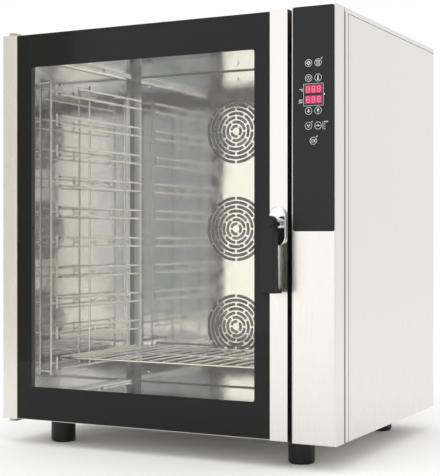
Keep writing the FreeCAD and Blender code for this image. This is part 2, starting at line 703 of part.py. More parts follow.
def baffle_screws():
    """Posts on the rear wall, each with a round knob that holds the baffle."""
    screws = []
    for x, z in baffle_screw_places():
        post = rod((x, BAFFLE_Y, z), (x, CAVITY_BACK, z), BAFFLE_POST_RADIUS)
        knob = rod((x, BAFFLE_Y - BAFFLE_KNOB_HEIGHT, z), (x, BAFFLE_Y, z), BAFFLE_KNOB_RADIUS)
        screws.append(post.fuse(knob).removeSplitter())
    return screws


def impeller(fan_z):
    """Back plate, hub and straight blades round the rim."""
    front = FAN_BACK - FAN_DEPTH
    plate = rod((CAVITY_MID, FAN_BACK - FAN_PLATE, fan_z), (CAVITY_MID, FAN_BACK, fan_z), FAN_RADIUS)
    hub = rod((CAVITY_MID, front, fan_z), (CAVITY_MID, FAN_BACK, fan_z), HUB_RADIUS)
    blades = []
    for index in range(FAN_BLADES):
        blade = box((CAVITY_MID + FAN_BLADE_ROOT, CAVITY_MID + FAN_RADIUS - FAN_BLADE), (front, FAN_BACK),
                    (fan_z - FAN_BLADE / 2, fan_z + FAN_BLADE / 2))
        blade.rotate(Vector(CAVITY_MID, 0, fan_z), Vector(0, 1, 0), 360 / FAN_BLADES * index)
        blades.append(blade)
    bore = rod((CAVITY_MID, front, fan_z), (CAVITY_MID, FAN_BACK, fan_z), SHAFT_RADIUS)
    return join([plate, hub] + blades).cut(bore)


def fan_shaft(fan_z):
    """Motor shaft with the nut that holds the fan wheel."""
    front = FAN_BACK - FAN_DEPTH
    shaft = rod((CAVITY_MID, front, fan_z), (CAVITY_MID, MOTOR_FRONT + SHAFT_IN_MOTOR, fan_z), SHAFT_RADIUS)
    nut = rod((CAVITY_MID, front - NUT_HEIGHT, fan_z), (CAVITY_MID, front, fan_z), NUT_RADIUS)
    return shaft.fuse(nut).removeSplitter()


def motor_plate():
    """Sheet behind the insulation that carries the fan motors."""
    holes = [circle(x, MOTOR_FACE, z, r + HOLE_GAP) for x, z, r in back_wall_holes()]
    holes.append(circle(VENT_X, MOTOR_FACE, VENT_Z, VENT_RADIUS + HOLE_GAP))
    holes.append(circle(CAVITY_MID, MOTOR_FACE, DRAIN_Z, DRAIN_RADIUS + HOLE_GAP))
    outline = rectangle(grow(CAVITY_X, LINER_SHEET), MOTOR_FACE, (Z_BASE + SHEET, Z_TOP - SHEET))
    return panel(outline, holes, SHEET)


def fan_motors():
    motors = []
    for fan_z in FAN_Z:
        front = MOTOR_FRONT
        flange = rod((CAVITY_MID, front, fan_z), (CAVITY_MID, front + MOTOR_FLANGE_THICKNESS, fan_z),
                     MOTOR_FLANGE)
        body = rod((CAVITY_MID, front, fan_z), (CAVITY_MID, front + MOTOR_LENGTH, fan_z), MOTOR_RADIUS)
        bore = rod((CAVITY_MID, front, fan_z), (CAVITY_MID, front + SHAFT_IN_MOTOR + MOVING_GAP, fan_z),
                   SHAFT_RADIUS + RUNNING_FIT)
        motors.append(join([flange, body]).cut(bore))
    return motors


def heating_elements():
    """Open ring round each fan wheel, with both ends bent back through the rear wall as terminals."""
    heaters = []
    back = Vector(0, 1, 0)
    for fan_z in FAN_Z:
        legs = []
        for point, onward in heater_ends(fan_z):
            bend_end = point + onward * HEATER_BEND + back * HEATER_BEND
            bend_mid = point + back * HEATER_BEND + (onward - back).normalize() * HEATER_BEND
            finish = Vector(bend_end.x, MOTOR_FRONT + HEATER_TERMINAL, bend_end.z)
            bend = Part.Arc(point, bend_mid, bend_end).toShape()
            legs.append((bend, Part.LineSegment(bend_end, finish).toShape()))
        quarter = (360 - HEATER_GAP_ANGLE) / 4
        angles = [HEATER_START + quarter * index for index in range(5)]
        spots = [polar(CAVITY_MID, HEATER_Y, fan_z, HEATER_RADIUS, angle) for angle in angles]
        rings = [Part.Arc(*spots[0:3]).toShape(), Part.Arc(*spots[2:5]).toShape()]
        path = Part.Wire([legs[0][1], legs[0][0], rings[0], rings[1], legs[1][0], legs[1][1]])
        start = legs[0][1].Vertexes[-1].Point
        section = Part.Wire(Part.Circle(start, back, HEATER_TUBE).toShape())
        heaters.append(path.makePipeShell([section], True, False))
    return heaters


def steam_injectors():
    """Water tubes that reach round each fan to its hub, fed by one upright manifold."""
    tubes = []
    for fan_z in FAN_Z:
        entry = injector_entry(fan_z)
        hub = Vector(CAVITY_MID, 0, fan_z)
        inward = (hub - entry).normalize()
        corner = Vector(entry.x, INJECTOR_Y, entry.z)
        back = Vector(0, 1, 0)
        bend_start = corner + back * INJECTOR_BEND
        bend_end = corner + inward * INJECTOR_BEND
        bend_mid = bend_start + inward * INJECTOR_BEND - (back + inward).normalize() * INJECTOR_BEND
        start = Vector(entry.x, MANIFOLD_Y - MANIFOLD_RADIUS - WELD_GAP, entry.z)
        finish = corner + inward * (INJECTOR_REACH - INJECTOR_END)
        path = Part.Wire([Part.LineSegment(start, bend_start).toShape(),
                          Part.Arc(bend_start, bend_mid, bend_end).toShape(),
                          Part.LineSegment(bend_end, finish).toShape()])
        section = Part.Wire(Part.Circle(start, back, INJECTOR_RADIUS).toShape())
        tubes.append(path.makePipeShell([section], True, False))
    x = injector_entry(0).x
    top = injector_entry(FAN_Z[-1]).z + 2 * MANIFOLD_RADIUS
    tubes.append(rod((x, MANIFOLD_Y, VALVE_Z + VALVE_HEIGHT / 2), (x, MANIFOLD_Y, top), MANIFOLD_RADIUS))
    return tubes


# Services at the back

def water_valve():
    """Solenoid valve on the back panel with its threaded inlet outside."""
    inside = Y_BACK - SHEET
    body = box((VALVE_X - VALVE_WIDTH / 2, VALVE_X + VALVE_WIDTH / 2), (inside - VALVE_DEPTH, inside),
               (VALVE_Z - VALVE_HEIGHT / 2, VALVE_Z + VALVE_HEIGHT / 2))
    spout = rod((VALVE_X, inside, VALVE_Z), (VALVE_X, Y_BACK + INLET_HEX_THICKNESS + INLET_LENGTH, VALVE_Z),
                INLET_RADIUS)
    corners = [polar(VALVE_X, Y_BACK, VALVE_Z, INLET_HEX, 60 * i) for i in range(7)]
    nut = panel(Part.makePolygon(corners), [], INLET_HEX_THICKNESS)
    bore = rod((VALVE_X, inside - VALVE_DEPTH / 2, VALVE_Z), (VALVE_X, Y_BACK + 2 * INLET_LENGTH, VALVE_Z),
               INLET_RADIUS - INLET_WALL)
    return join([body, spout, nut]).cut(bore)


def drain_pipe():
    """Pipe down from the cavity floor and straight back through the rear."""
    corner = (CAVITY_MID, DRAIN_Y, DRAIN_Z)
    top = (CAVITY_MID, DRAIN_Y, CAVITY_Z[0] - LINER_SHEET)
    end = (CAVITY_MID, Y_BACK + REAR_REACH, DRAIN_Z)

    def run(radius):
        knee = Part.makeSphere(radius, Vector(*corner))
        return join([rod(corner, top, radius), rod(corner, end, radius), knee])

    collar = pipe_collar(CAVITY_MID, DRAIN_Z, DRAIN_RADIUS)
    return join([run(DRAIN_RADIUS), collar]).cut(run(DRAIN_RADIUS - PIPE_WALL))


def vent_pipe():
    start = (VENT_X, LINER_BACK, VENT_Z)
    end = (VENT_X, Y_BACK + REAR_REACH, VENT_Z)
    outer = join([rod(start, end, VENT_RADIUS), pipe_collar(VENT_X, VENT_Z, VENT_RADIUS)])
    return outer.cut(rod(start, end, VENT_RADIUS - PIPE_WALL))


def pipe_collar(x, z, radius):
    """Ring that seats a pipe against the outside of the back panel."""
    return rod((x, Y_BACK, z), (x, Y_BACK + PIPE_COLLAR_THICKNESS, z), radius + PIPE_COLLAR)


def cable_gland():
    """Gland body through the back panel with a clamping collar outside."""
    x, z = GLAND_X, GLAND_Z
    body = rod((x, Y_BACK - SHEET - GLAND_FLANGE_THICKNESS, z), (x, Y_BACK + GLAND_LENGTH, z), GLAND_RADIUS)
    collar = rod((x, Y_BACK, z), (x, Y_BACK + GLAND_FLANGE_THICKNESS, z), GLAND_FLANGE)
    bore = rod((x, Y_BACK - GLAND_LENGTH, z), (x, Y_BACK + 2 * GLAND_LENGTH, z), GLAND_BORE)
    return join([body, collar]).cut(bore)


# Electrics

def electrics_plate():
    """Upright sheet beside the cavity, folded under the insulation to stand on the base pan."""
    y = (Y_FRAME + ELECTRICS_MARGIN, Y_BACK - 2 * ELECTRICS_MARGIN)
    upright = box((ELECTRICS_X, ELECTRICS_X + SHEET), y, (Z_BASE + SHEET, CAVITY_Z[1]))
    fold = box((ELECTRICS_X - INSULATION, ELECTRICS_X + SHEET), y, (Z_BASE + SHEET, Z_BASE + 2 * SHEET))
    return join([upright, fold])


def switchgear():
    """Row of contactors and a terminal block on the electrics plate."""
    x = ELECTRICS_X + SHEET
    start = Y_FRAME + 2 * ELECTRICS_MARGIN
    pieces = []
    for index in range(CONTACTOR_COUNT):
        y = (start + index * CONTACTOR_PITCH, start + index * CONTACTOR_PITCH + CONTACTOR_WIDTH)
        z = (Z_BASE + CONTACTOR_RISE, Z_BASE + CONTACTOR_RISE + CONTACTOR_HEIGHT)
        base = box((x, x + CONTACTOR_BASE), y, z)
        nose = box((x, x + CONTACTOR_DEPTH), y, grow(z, -CONTACTOR_STEP))
        pieces.append(join([base, nose]))
    z = (Z_BASE + TERMINAL_RISE, Z_BASE + TERMINAL_RISE + TERMINAL_HEIGHT)
    block = box((x, x + TERMINAL_DEPTH), (start, start + TERMINAL_WAYS * TERMINAL_PITCH), z)
    ways = []
    for index in range(TERMINAL_WAYS):
        place = (x + TERMINAL_DEPTH / 2, start + TERMINAL_PITCH * (index + 1 / 2))
        ways.append(rod((*place, z[0]), (*place, z[1]), TERMINAL_HOLE))
    pieces.append(block.cut(Part.makeCompound(ways)))
    return pieces


# Control column

def key_places():
    """Name and centre of each key, from the top row down."""
    for row, names in zip(KEY_ROWS, KEY_NAMES):
        columns = KEY_COLUMNS if len(names) == 2 else (COLUMN_MID,)
        for name, x in zip(names, columns):
            yield name, x, row


def display_places():
    for side in (1, -1):
        z = DISPLAY_Z + side * (DISPLAY_HEIGHT + DISPLAY_GAP) / 2
        yield (COLUMN_MID - DISPLAY_WIDTH / 2, COLUMN_MID + DISPLAY_WIDTH / 2), \
              (z - DISPLAY_HEIGHT / 2, z + DISPLAY_HEIGHT / 2)


def board_span():
    """Width and height of the circuit board, past the displays and the end keys."""
    x = grow((COLUMN_MID, COLUMN_MID), DISPLAY_WIDTH / 2 + 2 * BOARD_MARGIN)
    z = grow((KEY_ROWS[-1], KEY_ROWS[0]), KEY_RADIUS + BOARD_MARGIN)
    return x, z


def control_column():
    """Deep sheet shell with soft front edges, open behind the keys, on a narrower rim at the back."""
    x = (COLUMN_X, BODY_WIDTH)
    z = (Z_BASE, Z_TOP)
    back = Y_FRAME - COLUMN_SEAM
    outer = round_front_edges(box(x, (0, back), z), 0, COLUMN_RADIUS)
    shell = outer.cut(box(grow(x, -SHEET), (SHEET, back), grow(z, -SHEET)))
    rim_x = grow(x, -COLUMN_RIM)
    rim_z = grow(z, -COLUMN_RIM)
    rim = panel(rectangle(rim_x, back - SHEET, rim_z),
                [rectangle(grow(rim_x, -SHEET), back - SHEET, grow(rim_z, -SHEET))], Y_FRAME - back + SHEET)
    lip = panel(rectangle(grow(x, -SHEET), back - SHEET, grow(z, -SHEET)),
                [rectangle(grow(rim_x, -SHEET), back - SHEET, grow(rim_z, -SHEET))], SHEET)
    span_x, span_z = board_span()
    window = box(grow(span_x, -BOARD_MARGIN), (-SHEET, 2 * SHEET), grow(span_z, -BOARD_MARGIN))
    return join([shell, lip, rim]).cut(window)


def control_overlay():
    """Black front of the column with a hole for every key and both displays."""
    x = grow((COLUMN_X, BODY_WIDTH), -OVERLAY_MARGIN)
    z = (Z_TOP - OVERLAY_MARGIN - OVERLAY_HEIGHT, Z_TOP - OVERLAY_MARGIN)
    y = -OVERLAY_THICKNESS
    holes = [circle(key_x, y, key_z, KEY_RADIUS + MOVING_GAP) for name, key_x, key_z in key_places()]
    holes += [rectangle(dx, y, dz) for dx, dz in display_places()]
    return panel(rectangle(x, y, z, OVERLAY_RADIUS), holes, OVERLAY_THICKNESS)


def display_modules():
    return [box(x, (-OVERLAY_THICKNESS, BOARD_Y), z) for x, z in display_places()]


def control_board():
    """Circuit board on four pillars, with a switch behind every key."""
    x, z = board_span()
    pieces = [box(x, (BOARD_Y, BOARD_Y + BOARD_THICKNESS), z)]
    for px in grow(x, -BOARD_MARGIN / 2):
        for pz in grow(z, -BOARD_MARGIN / 2):
            pieces.append(rod((px, SHEET, pz), (px, BOARD_Y, pz), SWITCH_RADIUS))
    top = KEY_STEM + KEY_TRAVEL + MOVING_GAP
    for name, key_x, key_z in key_places():
        pieces.append(rod((key_x, top, key_z), (key_x, BOARD_Y, key_z), SWITCH_RADIUS))
    return join(pieces)


def key(x, z):
    """Round key cap standing just proud of the overlay."""
    front = -OVERLAY_THICKNESS - KEY_PROUD
    cap = rod((x, front, z), (x, KEY_STEM, z), KEY_RADIUS)
    return round_front_edges(cap, front, KEY_PROUD)


# Door

def hinge_stile():
    outer = box((0, STILE_WIDTH), (0, STILE_DEPTH), DOOR_Z)
    inner = box((STILE_WALL, STILE_WIDTH - STILE_WALL), (STILE_WALL, STILE_DEPTH - STILE_WALL), DOOR_Z)
    return outer.cut(inner)


def handle_stile():
    """Closed box section with the holes for the spindle and the tongue that enters the roller catch."""
    x = (DOOR_WIDTH - STILE_WIDTH, DOOR_WIDTH)
    outer = box(x, (0, STILE_DEPTH), DOOR_Z)
    inner = box(grow(x, -STILE_WALL), (STILE_WALL, STILE_DEPTH - STILE_WALL), grow(DOOR_Z, -STILE_WALL))
    hole = rod((HANDLE_X, 0, HANDLE_Z), (HANDLE_X, STILE_DEPTH, HANDLE_Z), SPINDLE_RADIUS + HOLE_GAP)
    tongue = box((HANDLE_X - TONGUE_WIDTH / 2, HANDLE_X + TONGUE_WIDTH / 2),
                 (STILE_DEPTH - STILE_WALL, STILE_DEPTH + TONGUE_LENGTH),
                 (CATCH_Z - TONGUE_THICKNESS / 2, CATCH_Z + TONGUE_THICKNESS / 2))
    return join([outer.cut(inner).cut(hole), tongue])


def door_rails():
    """Channels along the top and bottom of the glass, open towards its middle."""
    y = (PRINT_BACK, STILE_DEPTH)
    rails = []
    for edge, way in ((DOOR_Z[0], 1), (DOOR_Z[1], -1)):
        z = sorted((edge, edge + way * RAIL_HEIGHT))
        hollow = sorted((edge + way * STILE_WALL, edge + way * RAIL_HEIGHT))
        rails.append(box(GLASS_X, y, z).cut(box(GLASS_X, grow(y, -STILE_WALL), hollow)))
    return rails


def outer_glass():
    return box(grow(GLASS_X, -MOVING_GAP), (GLASS_SETBACK, GLASS_BACK), grow(DOOR_Z, -GLASS_END_GAP))


def glass_border():
    """Black print on the back of the glass round the clear window."""
    z = grow(DOOR_Z, -GLASS_END_GAP)
    window = rectangle(grow(GLASS_X, -BORDER_SIDE), GLASS_BACK, grow(DOOR_Z, -BORDER_END), WINDOW_RADIUS)
    return panel(rectangle(grow(GLASS_X, -MOVING_GAP), GLASS_BACK, z), [window], PRINT_THICKNESS)


def inner_opening():
    return grow(GLASS_X, -INNER_MARGIN_SIDE), grow(DOOR_Z, -INNER_MARGIN_END)


def inner_frame():
    """Folded frame on the back of the stiles that meets the gasket and holds the inner glass."""
    x = grow(GLASS_X, INNER_LAP)
    z = grow(DOOR_Z, -INNER_END_GAP)
    open_x, open_z = inner_opening()
    face = panel(rectangle(x, DOOR_BACK - SHEET, z),
                 [rectangle(open_x, DOOR_BACK - SHEET, open_z, WINDOW_RADIUS)], SHEET)
    rim = panel(rectangle(x, STILE_DEPTH, z), [rectangle(grow(x, -SHEET), STILE_DEPTH, grow(z, -SHEET))],
                INNER_DEPTH)
    return join([face, rim])


def inner_glass_span():
    x, z = inner_opening()
    return grow(x, INNER_GLASS_LAP), grow(z, INNER_GLASS_LAP)


def inner_glass():
    x, z = inner_glass_span()
    back = DOOR_BACK - SHEET - SPACER_PAD
    return box(x, (back - INNER_GLASS, back), z)


def glass_spacers():
    """Rubber buffers between the two panes, and pads between the inner pane and its frame."""
    x, z = inner_glass_span()
    back = DOOR_BACK - SHEET - SPACER_PAD
    pieces = []
    for px in grow(x, -SPACER_RADIUS):
        for pz in (z[0] + INNER_GLASS_LAP, sum(z) / 2, z[1] - INNER_GLASS_LAP):
            pieces.append(rod((px, PRINT_BACK, pz), (px, back - INNER_GLASS, pz), SPACER_RADIUS))
            pieces.append(rod((px, back, pz), (px, DOOR_BACK - SHEET, pz), SPACER_RADIUS))
    return pieces


def hinge_bushes():
    """Blocks that fill the ends of the hinge stile and turn on the pins."""
    x = (STILE_WALL, STILE_WIDTH - STILE_WALL)
    y = (STILE_WALL, STILE_DEPTH - STILE_WALL)
    bushes = []
    for z in ((DOOR_Z[0], DOOR_Z[0] + BUSH_LENGTH), (DOOR_Z[1] - BUSH_LENGTH, DOOR_Z[1])):
        bore = rod((HINGE_X, HINGE_Y, z[0]), (HINGE_X, HINGE_Y, z[1]), HINGE_PIN_RADIUS + RUNNING_FIT)
        bushes.append(box(x, y, z).cut(bore))
    return bushes


def hinge_brackets():
    """Plates on the front frame whose arms reach over and under the stile, each with its pin."""
    x = (HINGE_X - HINGE_ARM_WIDTH / 2, HINGE_X + HINGE_ARM_WIDTH / 2)
    brackets = []
    for edge, way in ((DOOR_Z[1], 1), (DOOR_Z[0], -1)):
        near = edge + way * MOVING_GAP
        far = near + way * HINGE_ARM
        plate = box(x, (Y_FRAME - HINGE_PLATE, Y_FRAME), sorted((far - way * HINGE_PLATE_LENGTH, far)))
        arm = box(x, (HINGE_Y, Y_FRAME), sorted((near, far)))
        nose = rod((HINGE_X, HINGE_Y, near), (HINGE_X, HINGE_Y, far), HINGE_ARM_WIDTH / 2)
        pin = rod((HINGE_X, HINGE_Y, near - way * HINGE_PIN_LENGTH), (HINGE_X, HINGE_Y, far),
                  HINGE_PIN_RADIUS)
        brackets.append(join([plate, arm, nose, pin]))
    return brackets


# Handle and latch

def handle_escutcheon():
    """Oval plate with a soft edge on the handle stile."""
    half = ESCUTCHEON_WIDTH / 2
    x = (HANDLE_X - half, HANDLE_X + half)
    middle = HANDLE_Z - ESCUTCHEON_DROP
    z = (middle - ESCUTCHEON_HEIGHT / 2, middle + ESCUTCHEON_HEIGHT / 2)
    y = -ESCUTCHEON_THICKNESS
    plate = panel(rectangle(x, y, z, half), [], ESCUTCHEON_THICKNESS)
    plate = round_front_edges(plate, y, ESCUTCHEON_EDGE)
    return plate.cut(rod((HANDLE_X, y, HANDLE_Z), (HANDLE_X, 0, HANDLE_Z), SPINDLE_RADIUS + RUNNING_FIT))


def handle_neck():
    start = -HANDLE_REACH + LEVER_THICKNESS
    end = -ESCUTCHEON_THICKNESS - MOVING_GAP
    return tube((HANDLE_X, start, HANDLE_Z), (HANDLE_X, end, HANDLE_Z), NECK_RADIUS, SPINDLE_RADIUS)


def handle_lever():
    """Lever that hangs from the neck, round at the top, wider below, with a lip turned to the door."""
    front = -HANDLE_REACH
    back = front + LEVER_THICKNESS
    half = LEVER_END_WIDTH / 2
    low = HANDLE_Z - LEVER_LENGTH
    head_z = HANDLE_Z + LEVER_HEAD_RISE
    right, top, left = (polar(HANDLE_X, front, head_z, LEVER_TOP_RADIUS, angle) for angle in (0, 90, 180))
    low_left = Vector(HANDLE_X - half, front, low)
    low_right = Vector(HANDLE_X + half, front, low)
    outline = Part.Wire([Part.Arc(right, top, left).toShape(), Part.LineSegment(left, low_left).toShape(),
                         Part.LineSegment(low_left, low_right).toShape(),
                         Part.LineSegment(low_right, right).toShape()])
    arm = round_front_edges(panel(outline, [], LEVER_THICKNESS), front, LEVER_EDGE)
    lip = box((HANDLE_X - half, HANDLE_X + half), (back - LEVER_EDGE, back + LEVER_LIP),
              (low, low + LEVER_LIP_HEIGHT))
    cap = rod((HANDLE_X, front - LEVER_CAP_HEIGHT, head_z), (HANDLE_X, back - LEVER_BORE_DEPTH, head_z),
              LEVER_CAP_RADIUS)
    bore = rod((HANDLE_X, back - LEVER_BORE_DEPTH, HANDLE_Z), (HANDLE_X, back, HANDLE_Z), SPINDLE_RADIUS)
    return join([arm, lip, cap]).cut(bore)


def latch_spindle():
    """Bar through the stile with a nose behind it that pushes the door off its catch."""
    start = -HANDLE_REACH + LEVER_THICKNESS - LEVER_BORE_DEPTH
    nose_y = (STILE_DEPTH + NOSE_GAP, STILE_DEPTH + NOSE_GAP + NOSE_THICKNESS)
    bar = rod((HANDLE_X, start, HANDLE_Z), (HANDLE_X, nose_y[1], HANDLE_Z), SPINDLE_RADIUS)
    boss = rod((HANDLE_X, nose_y[0], HANDLE_Z), (HANDLE_X, nose_y[1], HANDLE_Z), NOSE_WIDTH / 2 + NOSE_WALL)
    nose = box((HANDLE_X, HANDLE_X + NOSE_LENGTH), nose_y,
               (HANDLE_Z - NOSE_WIDTH / 2, HANDLE_Z + NOSE_WIDTH / 2))
    return join([bar, boss, nose])


def latch_keeper():
    """Bracket on the front frame with two rollers, one above and one below the tongue of the door."""
    reach = ROLLER_LENGTH / 2
    drop = TONGUE_THICKNESS / 2 + MOVING_GAP + ROLLER_RADIUS
    z = grow((CATCH_Z - drop, CATCH_Z + drop), ROLLER_RADIUS)
    roller_y = Y_FRAME - KEEPER_SHEET - ROLLER_RADIUS - NOSE_GAP
    plate = box(grow((HANDLE_X - reach, HANDLE_X + reach), KEEPER_SHEET + WELD_GAP),
                (Y_FRAME - KEEPER_SHEET, Y_FRAME), z)
    pieces = [plate]
    for way in (-1, 1):
        near = HANDLE_X + way * (reach + WELD_GAP)
        pieces.append(box(sorted((near, near + way * KEEPER_SHEET)),
                          (roller_y - ROLLER_RADIUS, Y_FRAME), z))
    bracket = join(pieces)
    rollers = [rod((HANDLE_X - reach, roller_y, CATCH_Z + way * drop),
                   (HANDLE_X + reach, roller_y, CATCH_Z + way * drop), ROLLER_RADIUS) for way in (-1, 1)]
    return [bracket] + rollers


# Writing the pieces

def all_pieces():
    """Node name and shape of every piece; a list is a group of separate solids."""
    yield "base_pan", base_pan()
    yield "levelling_feet", levelling_feet()
    yield "front_frame", front_frame()
    yield "left_side_panel", side_panel(SHEET, 1)
    yield "right_side_panel", side_panel(BODY_WIDTH - SHEET, -1)
    yield "top_cover", top_cover()
    yield "back_panel", back_panel()
    yield "panel_screws", panel_screws()
    yield "cavity_liner", cavity_liner()
    yield "insulation_slabs", insulation_slabs()
    yield "door_gasket", door_gasket()
    yield "left_rack", rack(CAVITY_X[0], 1)
    yield "right_rack", rack(CAVITY_X[1], -1)
    yield "wire_shelf", wire_shelf()
    yield "fan_baffle", fan_baffle()
    yield "baffle_screws", baffle_screws()
    for place, fan_z in zip(FAN_NAMES, FAN_Z):
        yield "fan_wheel_" + place, impeller(fan_z)
        yield "fan_shaft_" + place, fan_shaft(fan_z)
    yield "motor_plate", motor_plate()
    yield "fan_motors", fan_motors()
    yield "heating_elements", heating_elements()
    yield "steam_injectors", steam_injectors()
    yield "water_valve", water_valve()
    yield "drain_pipe", drain_pipe()
    yield "vent_pipe", vent_pipe()
    yield "cable_gland", cable_gland()
    yield "electrics_plate", electrics_plate()
    yield "switchgear", switchgear()
    yield "control_column", control_column()
    yield "control_overlay", control_overlay()
    yield "display_modules", display_modules()
    yield "control_board", control_board()
    for name, x, z in key_places():
        yield "key_" + name, key(x, z)
    yield "door_hinge_stile", hinge_stile()
    yield "door_handle_stile", handle_stile()
    yield "door_rails", door_rails()
    yield "outer_glass", outer_glass()
    yield "glass_border", glass_border()
    yield "inner_frame", inner_frame()
    yield "inner_glass", inner_glass()
    yield "glass_spacers", glass_spacers()
    yield "hinge_bushes", hinge_bushes()
    yield "hinge_brackets", hinge_brackets()
    yield "handle_escutcheon", handle_escutcheon()
    yield "handle_neck", handle_neck()
    yield "handle_lever", handle_lever()
    yield "latch_spindle", latch_spindle()
    yield "latch_keeper", latch_keeper()


def main():
    os.makedirs("parts", exist_ok=True)
    for name, shape in all_pieces():
        solid = Part.makeCompound(shape) if isinstance(shape, list) else shape
        solid.translate(ORIGIN_SHIFT)
        solid.exportStep("parts/" + name + ".step")


main()
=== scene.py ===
import math

import bmesh
import bpy
from bpy.props import FloatProperty, FloatVectorProperty, PointerProperty
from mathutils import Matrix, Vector


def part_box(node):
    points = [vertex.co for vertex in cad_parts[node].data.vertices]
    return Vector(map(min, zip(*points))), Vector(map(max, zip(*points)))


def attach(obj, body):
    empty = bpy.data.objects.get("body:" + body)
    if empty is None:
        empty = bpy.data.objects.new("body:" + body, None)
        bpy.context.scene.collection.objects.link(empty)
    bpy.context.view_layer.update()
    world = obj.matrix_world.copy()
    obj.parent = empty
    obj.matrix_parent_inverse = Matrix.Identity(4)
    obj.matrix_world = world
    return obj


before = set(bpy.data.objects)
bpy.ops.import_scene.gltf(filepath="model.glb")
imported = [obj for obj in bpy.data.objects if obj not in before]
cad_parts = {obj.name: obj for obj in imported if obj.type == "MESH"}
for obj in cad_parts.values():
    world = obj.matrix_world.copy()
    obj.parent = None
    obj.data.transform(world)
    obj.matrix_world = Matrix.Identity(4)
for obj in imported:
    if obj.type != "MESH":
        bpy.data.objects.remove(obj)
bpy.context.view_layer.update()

bl_info = {
    "name": "Combi oven",
    "version": (1, 0, 0),
    "blender": (4, 5, 0),
    "location": "View3D > Sidebar > Oven",
    "description": "Finishes, printed signs and studio for a ten-level combi oven",
    "category": "Object",
}

MM = 0.001
KEYS = ("lamp", "program", "timer", "temperature", "down", "up", "fan", "steam", "start")
FANS = ("bottom", "middle", "top")

# Signs on the keys, in millimetres from a key's middle: the kind of stroke, its points, and its width or radius
SIGNS = {
    "lamp": [("loop", [(0, 4.2), (4.2, 0), (0, -4.2), (-4.2, 0)], 2.0)],
    "program": [("loop", [(-3.4, 4.4), (3.4, 4.4), (3.4, -1.2), (-3.4, -1.2)], 1.1),
                ("line", [(-4.2, -4.1), (4.2, -4.1)], 1.7), ("dot", [(0, 1.6)], 1.1)],
    "timer": [("ring", [(0, 0)], 4.5), ("line", [(0, 3.1), (0, 0), (2.2, -1.6)], 1.0)],
    "temperature": [("line", [(0, 5.0), (0, -1.1)], 2.3), ("dot", [(0, -3.3)], 2.2)],
    "down": [("patch", [(3.7, -0.2), (-3.7, -0.2), (0, -4.9)], 0), ("line", [(0, 4.7), (0, -0.2)], 2.1)],
    "up": [("patch", [(-3.7, 0.2), (3.7, 0.2), (0, 4.9)], 0), ("line", [(0, -4.7), (0, 0.2)], 2.1)],
    "fan": [("dot", [(2.2, 1.5), (-2.4, 1.2), (0.2, -2.7)], 1.5), ("dot", [(0, 0)], 0.9)],
    "steam": [("patch", [(0, 3.4), (2.1, 0), (0, -3.0), (-2.1, 0)], 0), ("line", [(-6.0, 0), (-2.6, 0)], 1.3),
              ("line", [(2.6, 0), (6.0, 0)], 1.3)],
    "start": [("line", [(-6.5, 2.9), (6.5, 2.9)], 0.9), ("line", [(-6.5, -2.9), (6.5, -2.9)], 0.9),
              ("patch", [(-4.4, -1.7), (-1.2, 0), (-4.4, 1.7)], 0),
              ("patch", [(1.2, -1.5), (4.2, -1.5), (4.2, 1.5), (1.2, 1.5)], 0)],
}
# Marks beside the keys, then those left of the frame round the displays
TICK = [("line", [(7.2, 7.6), (9.6, 11.4)], 1.7)]
INDICATOR = [("dot", [(8.3, 8.9)], 1.5)]
LEVELS = [("line", [(11.6, 9.0), (11.6, -9.0)], 1.1), ("line", [(14.6, 8.0), (24.0, 8.0)], 2.0),
          ("dot", [(16.2, 2.6), (16.2, -2.6), (16.2, -7.8)], 1.1)]
MARKS = {"program": TICK, "fan": INDICATOR, "start": TICK, "steam": LEVELS}
CLOCK = [("line", [(-10.5, 2.2), (-4.7, 1.1)], 1.5), ("line", [(-4.0, 3.4), (-3.0, -3.4)], 1.3)]
HEAT = [("line", [(-10.6, -1.2), (-9.8, 4.2)], 1.3), ("line", [(-7.4, -1.2), (-6.6, 4.2)], 1.3),
        ("line", [(-4.2, -1.2), (-3.4, 4.2)], 1.3), ("line", [(-12.2, -3.6), (-2.8, -3.0)], 1.4)]
# Line width of a ring in a sign
FINE_LINE = 0.8

# How prints are meshed: steps round a circle and round a bead's end, the cosine that caps how far a sharp
# mitre reaches, and the distance at which points become one
ROUND_STEPS = 24
BEAD_STEPS = 8
MITRE_LIMIT = 0.5
WELD = 0.002 * MM

# Studio, in metres and watts
FLOOR_REACH = 9.0
FLOOR_DROP = 0.2 * MM
WORLD_LEVEL = 1.08
# Left end, right end and height
CARDS = {
    "stile_screen": ((-2.7, -1.7), (-1.25, -2.13), 1.7),
    "room_card": ((0.9, -3.5), (1.9, -3.3), 1.9),
}
# Place, aim, width and height, and power
LAMPS = {
    "front_softbox": ((-1.1, -3.2, 1.2), (0.3, -0.3, 0.5), (1.8, 2.4), 4.3),
    "top_softbox": ((0.2, -1.5, 3.2), (0.2, -0.9, 0.0), (2.4, 2.4), 16.0),
    "oven_lamp": ((-0.345, 0.24, 0.555), (-0.399, 0.24, 0.555), (0.012, 0.8), 0.015),
    "chamber_lamp": ((-0.394, 0.245, 0.555), (-0.36, 0.215, 0.555), (0.012, 0.8), 0.06),
}
# Across the room, where the gauze starts to thin out and where none is left
GAUZE_FULL, GAUZE_BARE = -2.1, -1.28
CAMERA_PLACE = (1.4427, -2.8305, 0.5254)
CAMERA_HEADING = math.radians(27.2)
CAMERA_LENS = 89.67
CAMERA_SHIFT = 0.00275

# Noise values hardly leave this range
NOISE_LOW, NOISE_HIGH = 0.3, 0.7
# Where the heat-dulled liner starts behind the baffle, and how much rougher it is
CHAMBER_START = 3 * MM
DULLED_BY_HEAT = 0.5
# Light that a display's plastic sends back of its own colour
UNLIT_SHARE = 0.35


def linear(code):
    """Linear RGBA of an sRGB hex colour."""
    shares = [int(code[place:place + 2], 16) / 255 for place in (1, 3, 5)]
    return [s / 12.92 if s <= 0.04045 else ((s + 0.055) / 1.055) ** 2.4 for s in shares] + [1.0]


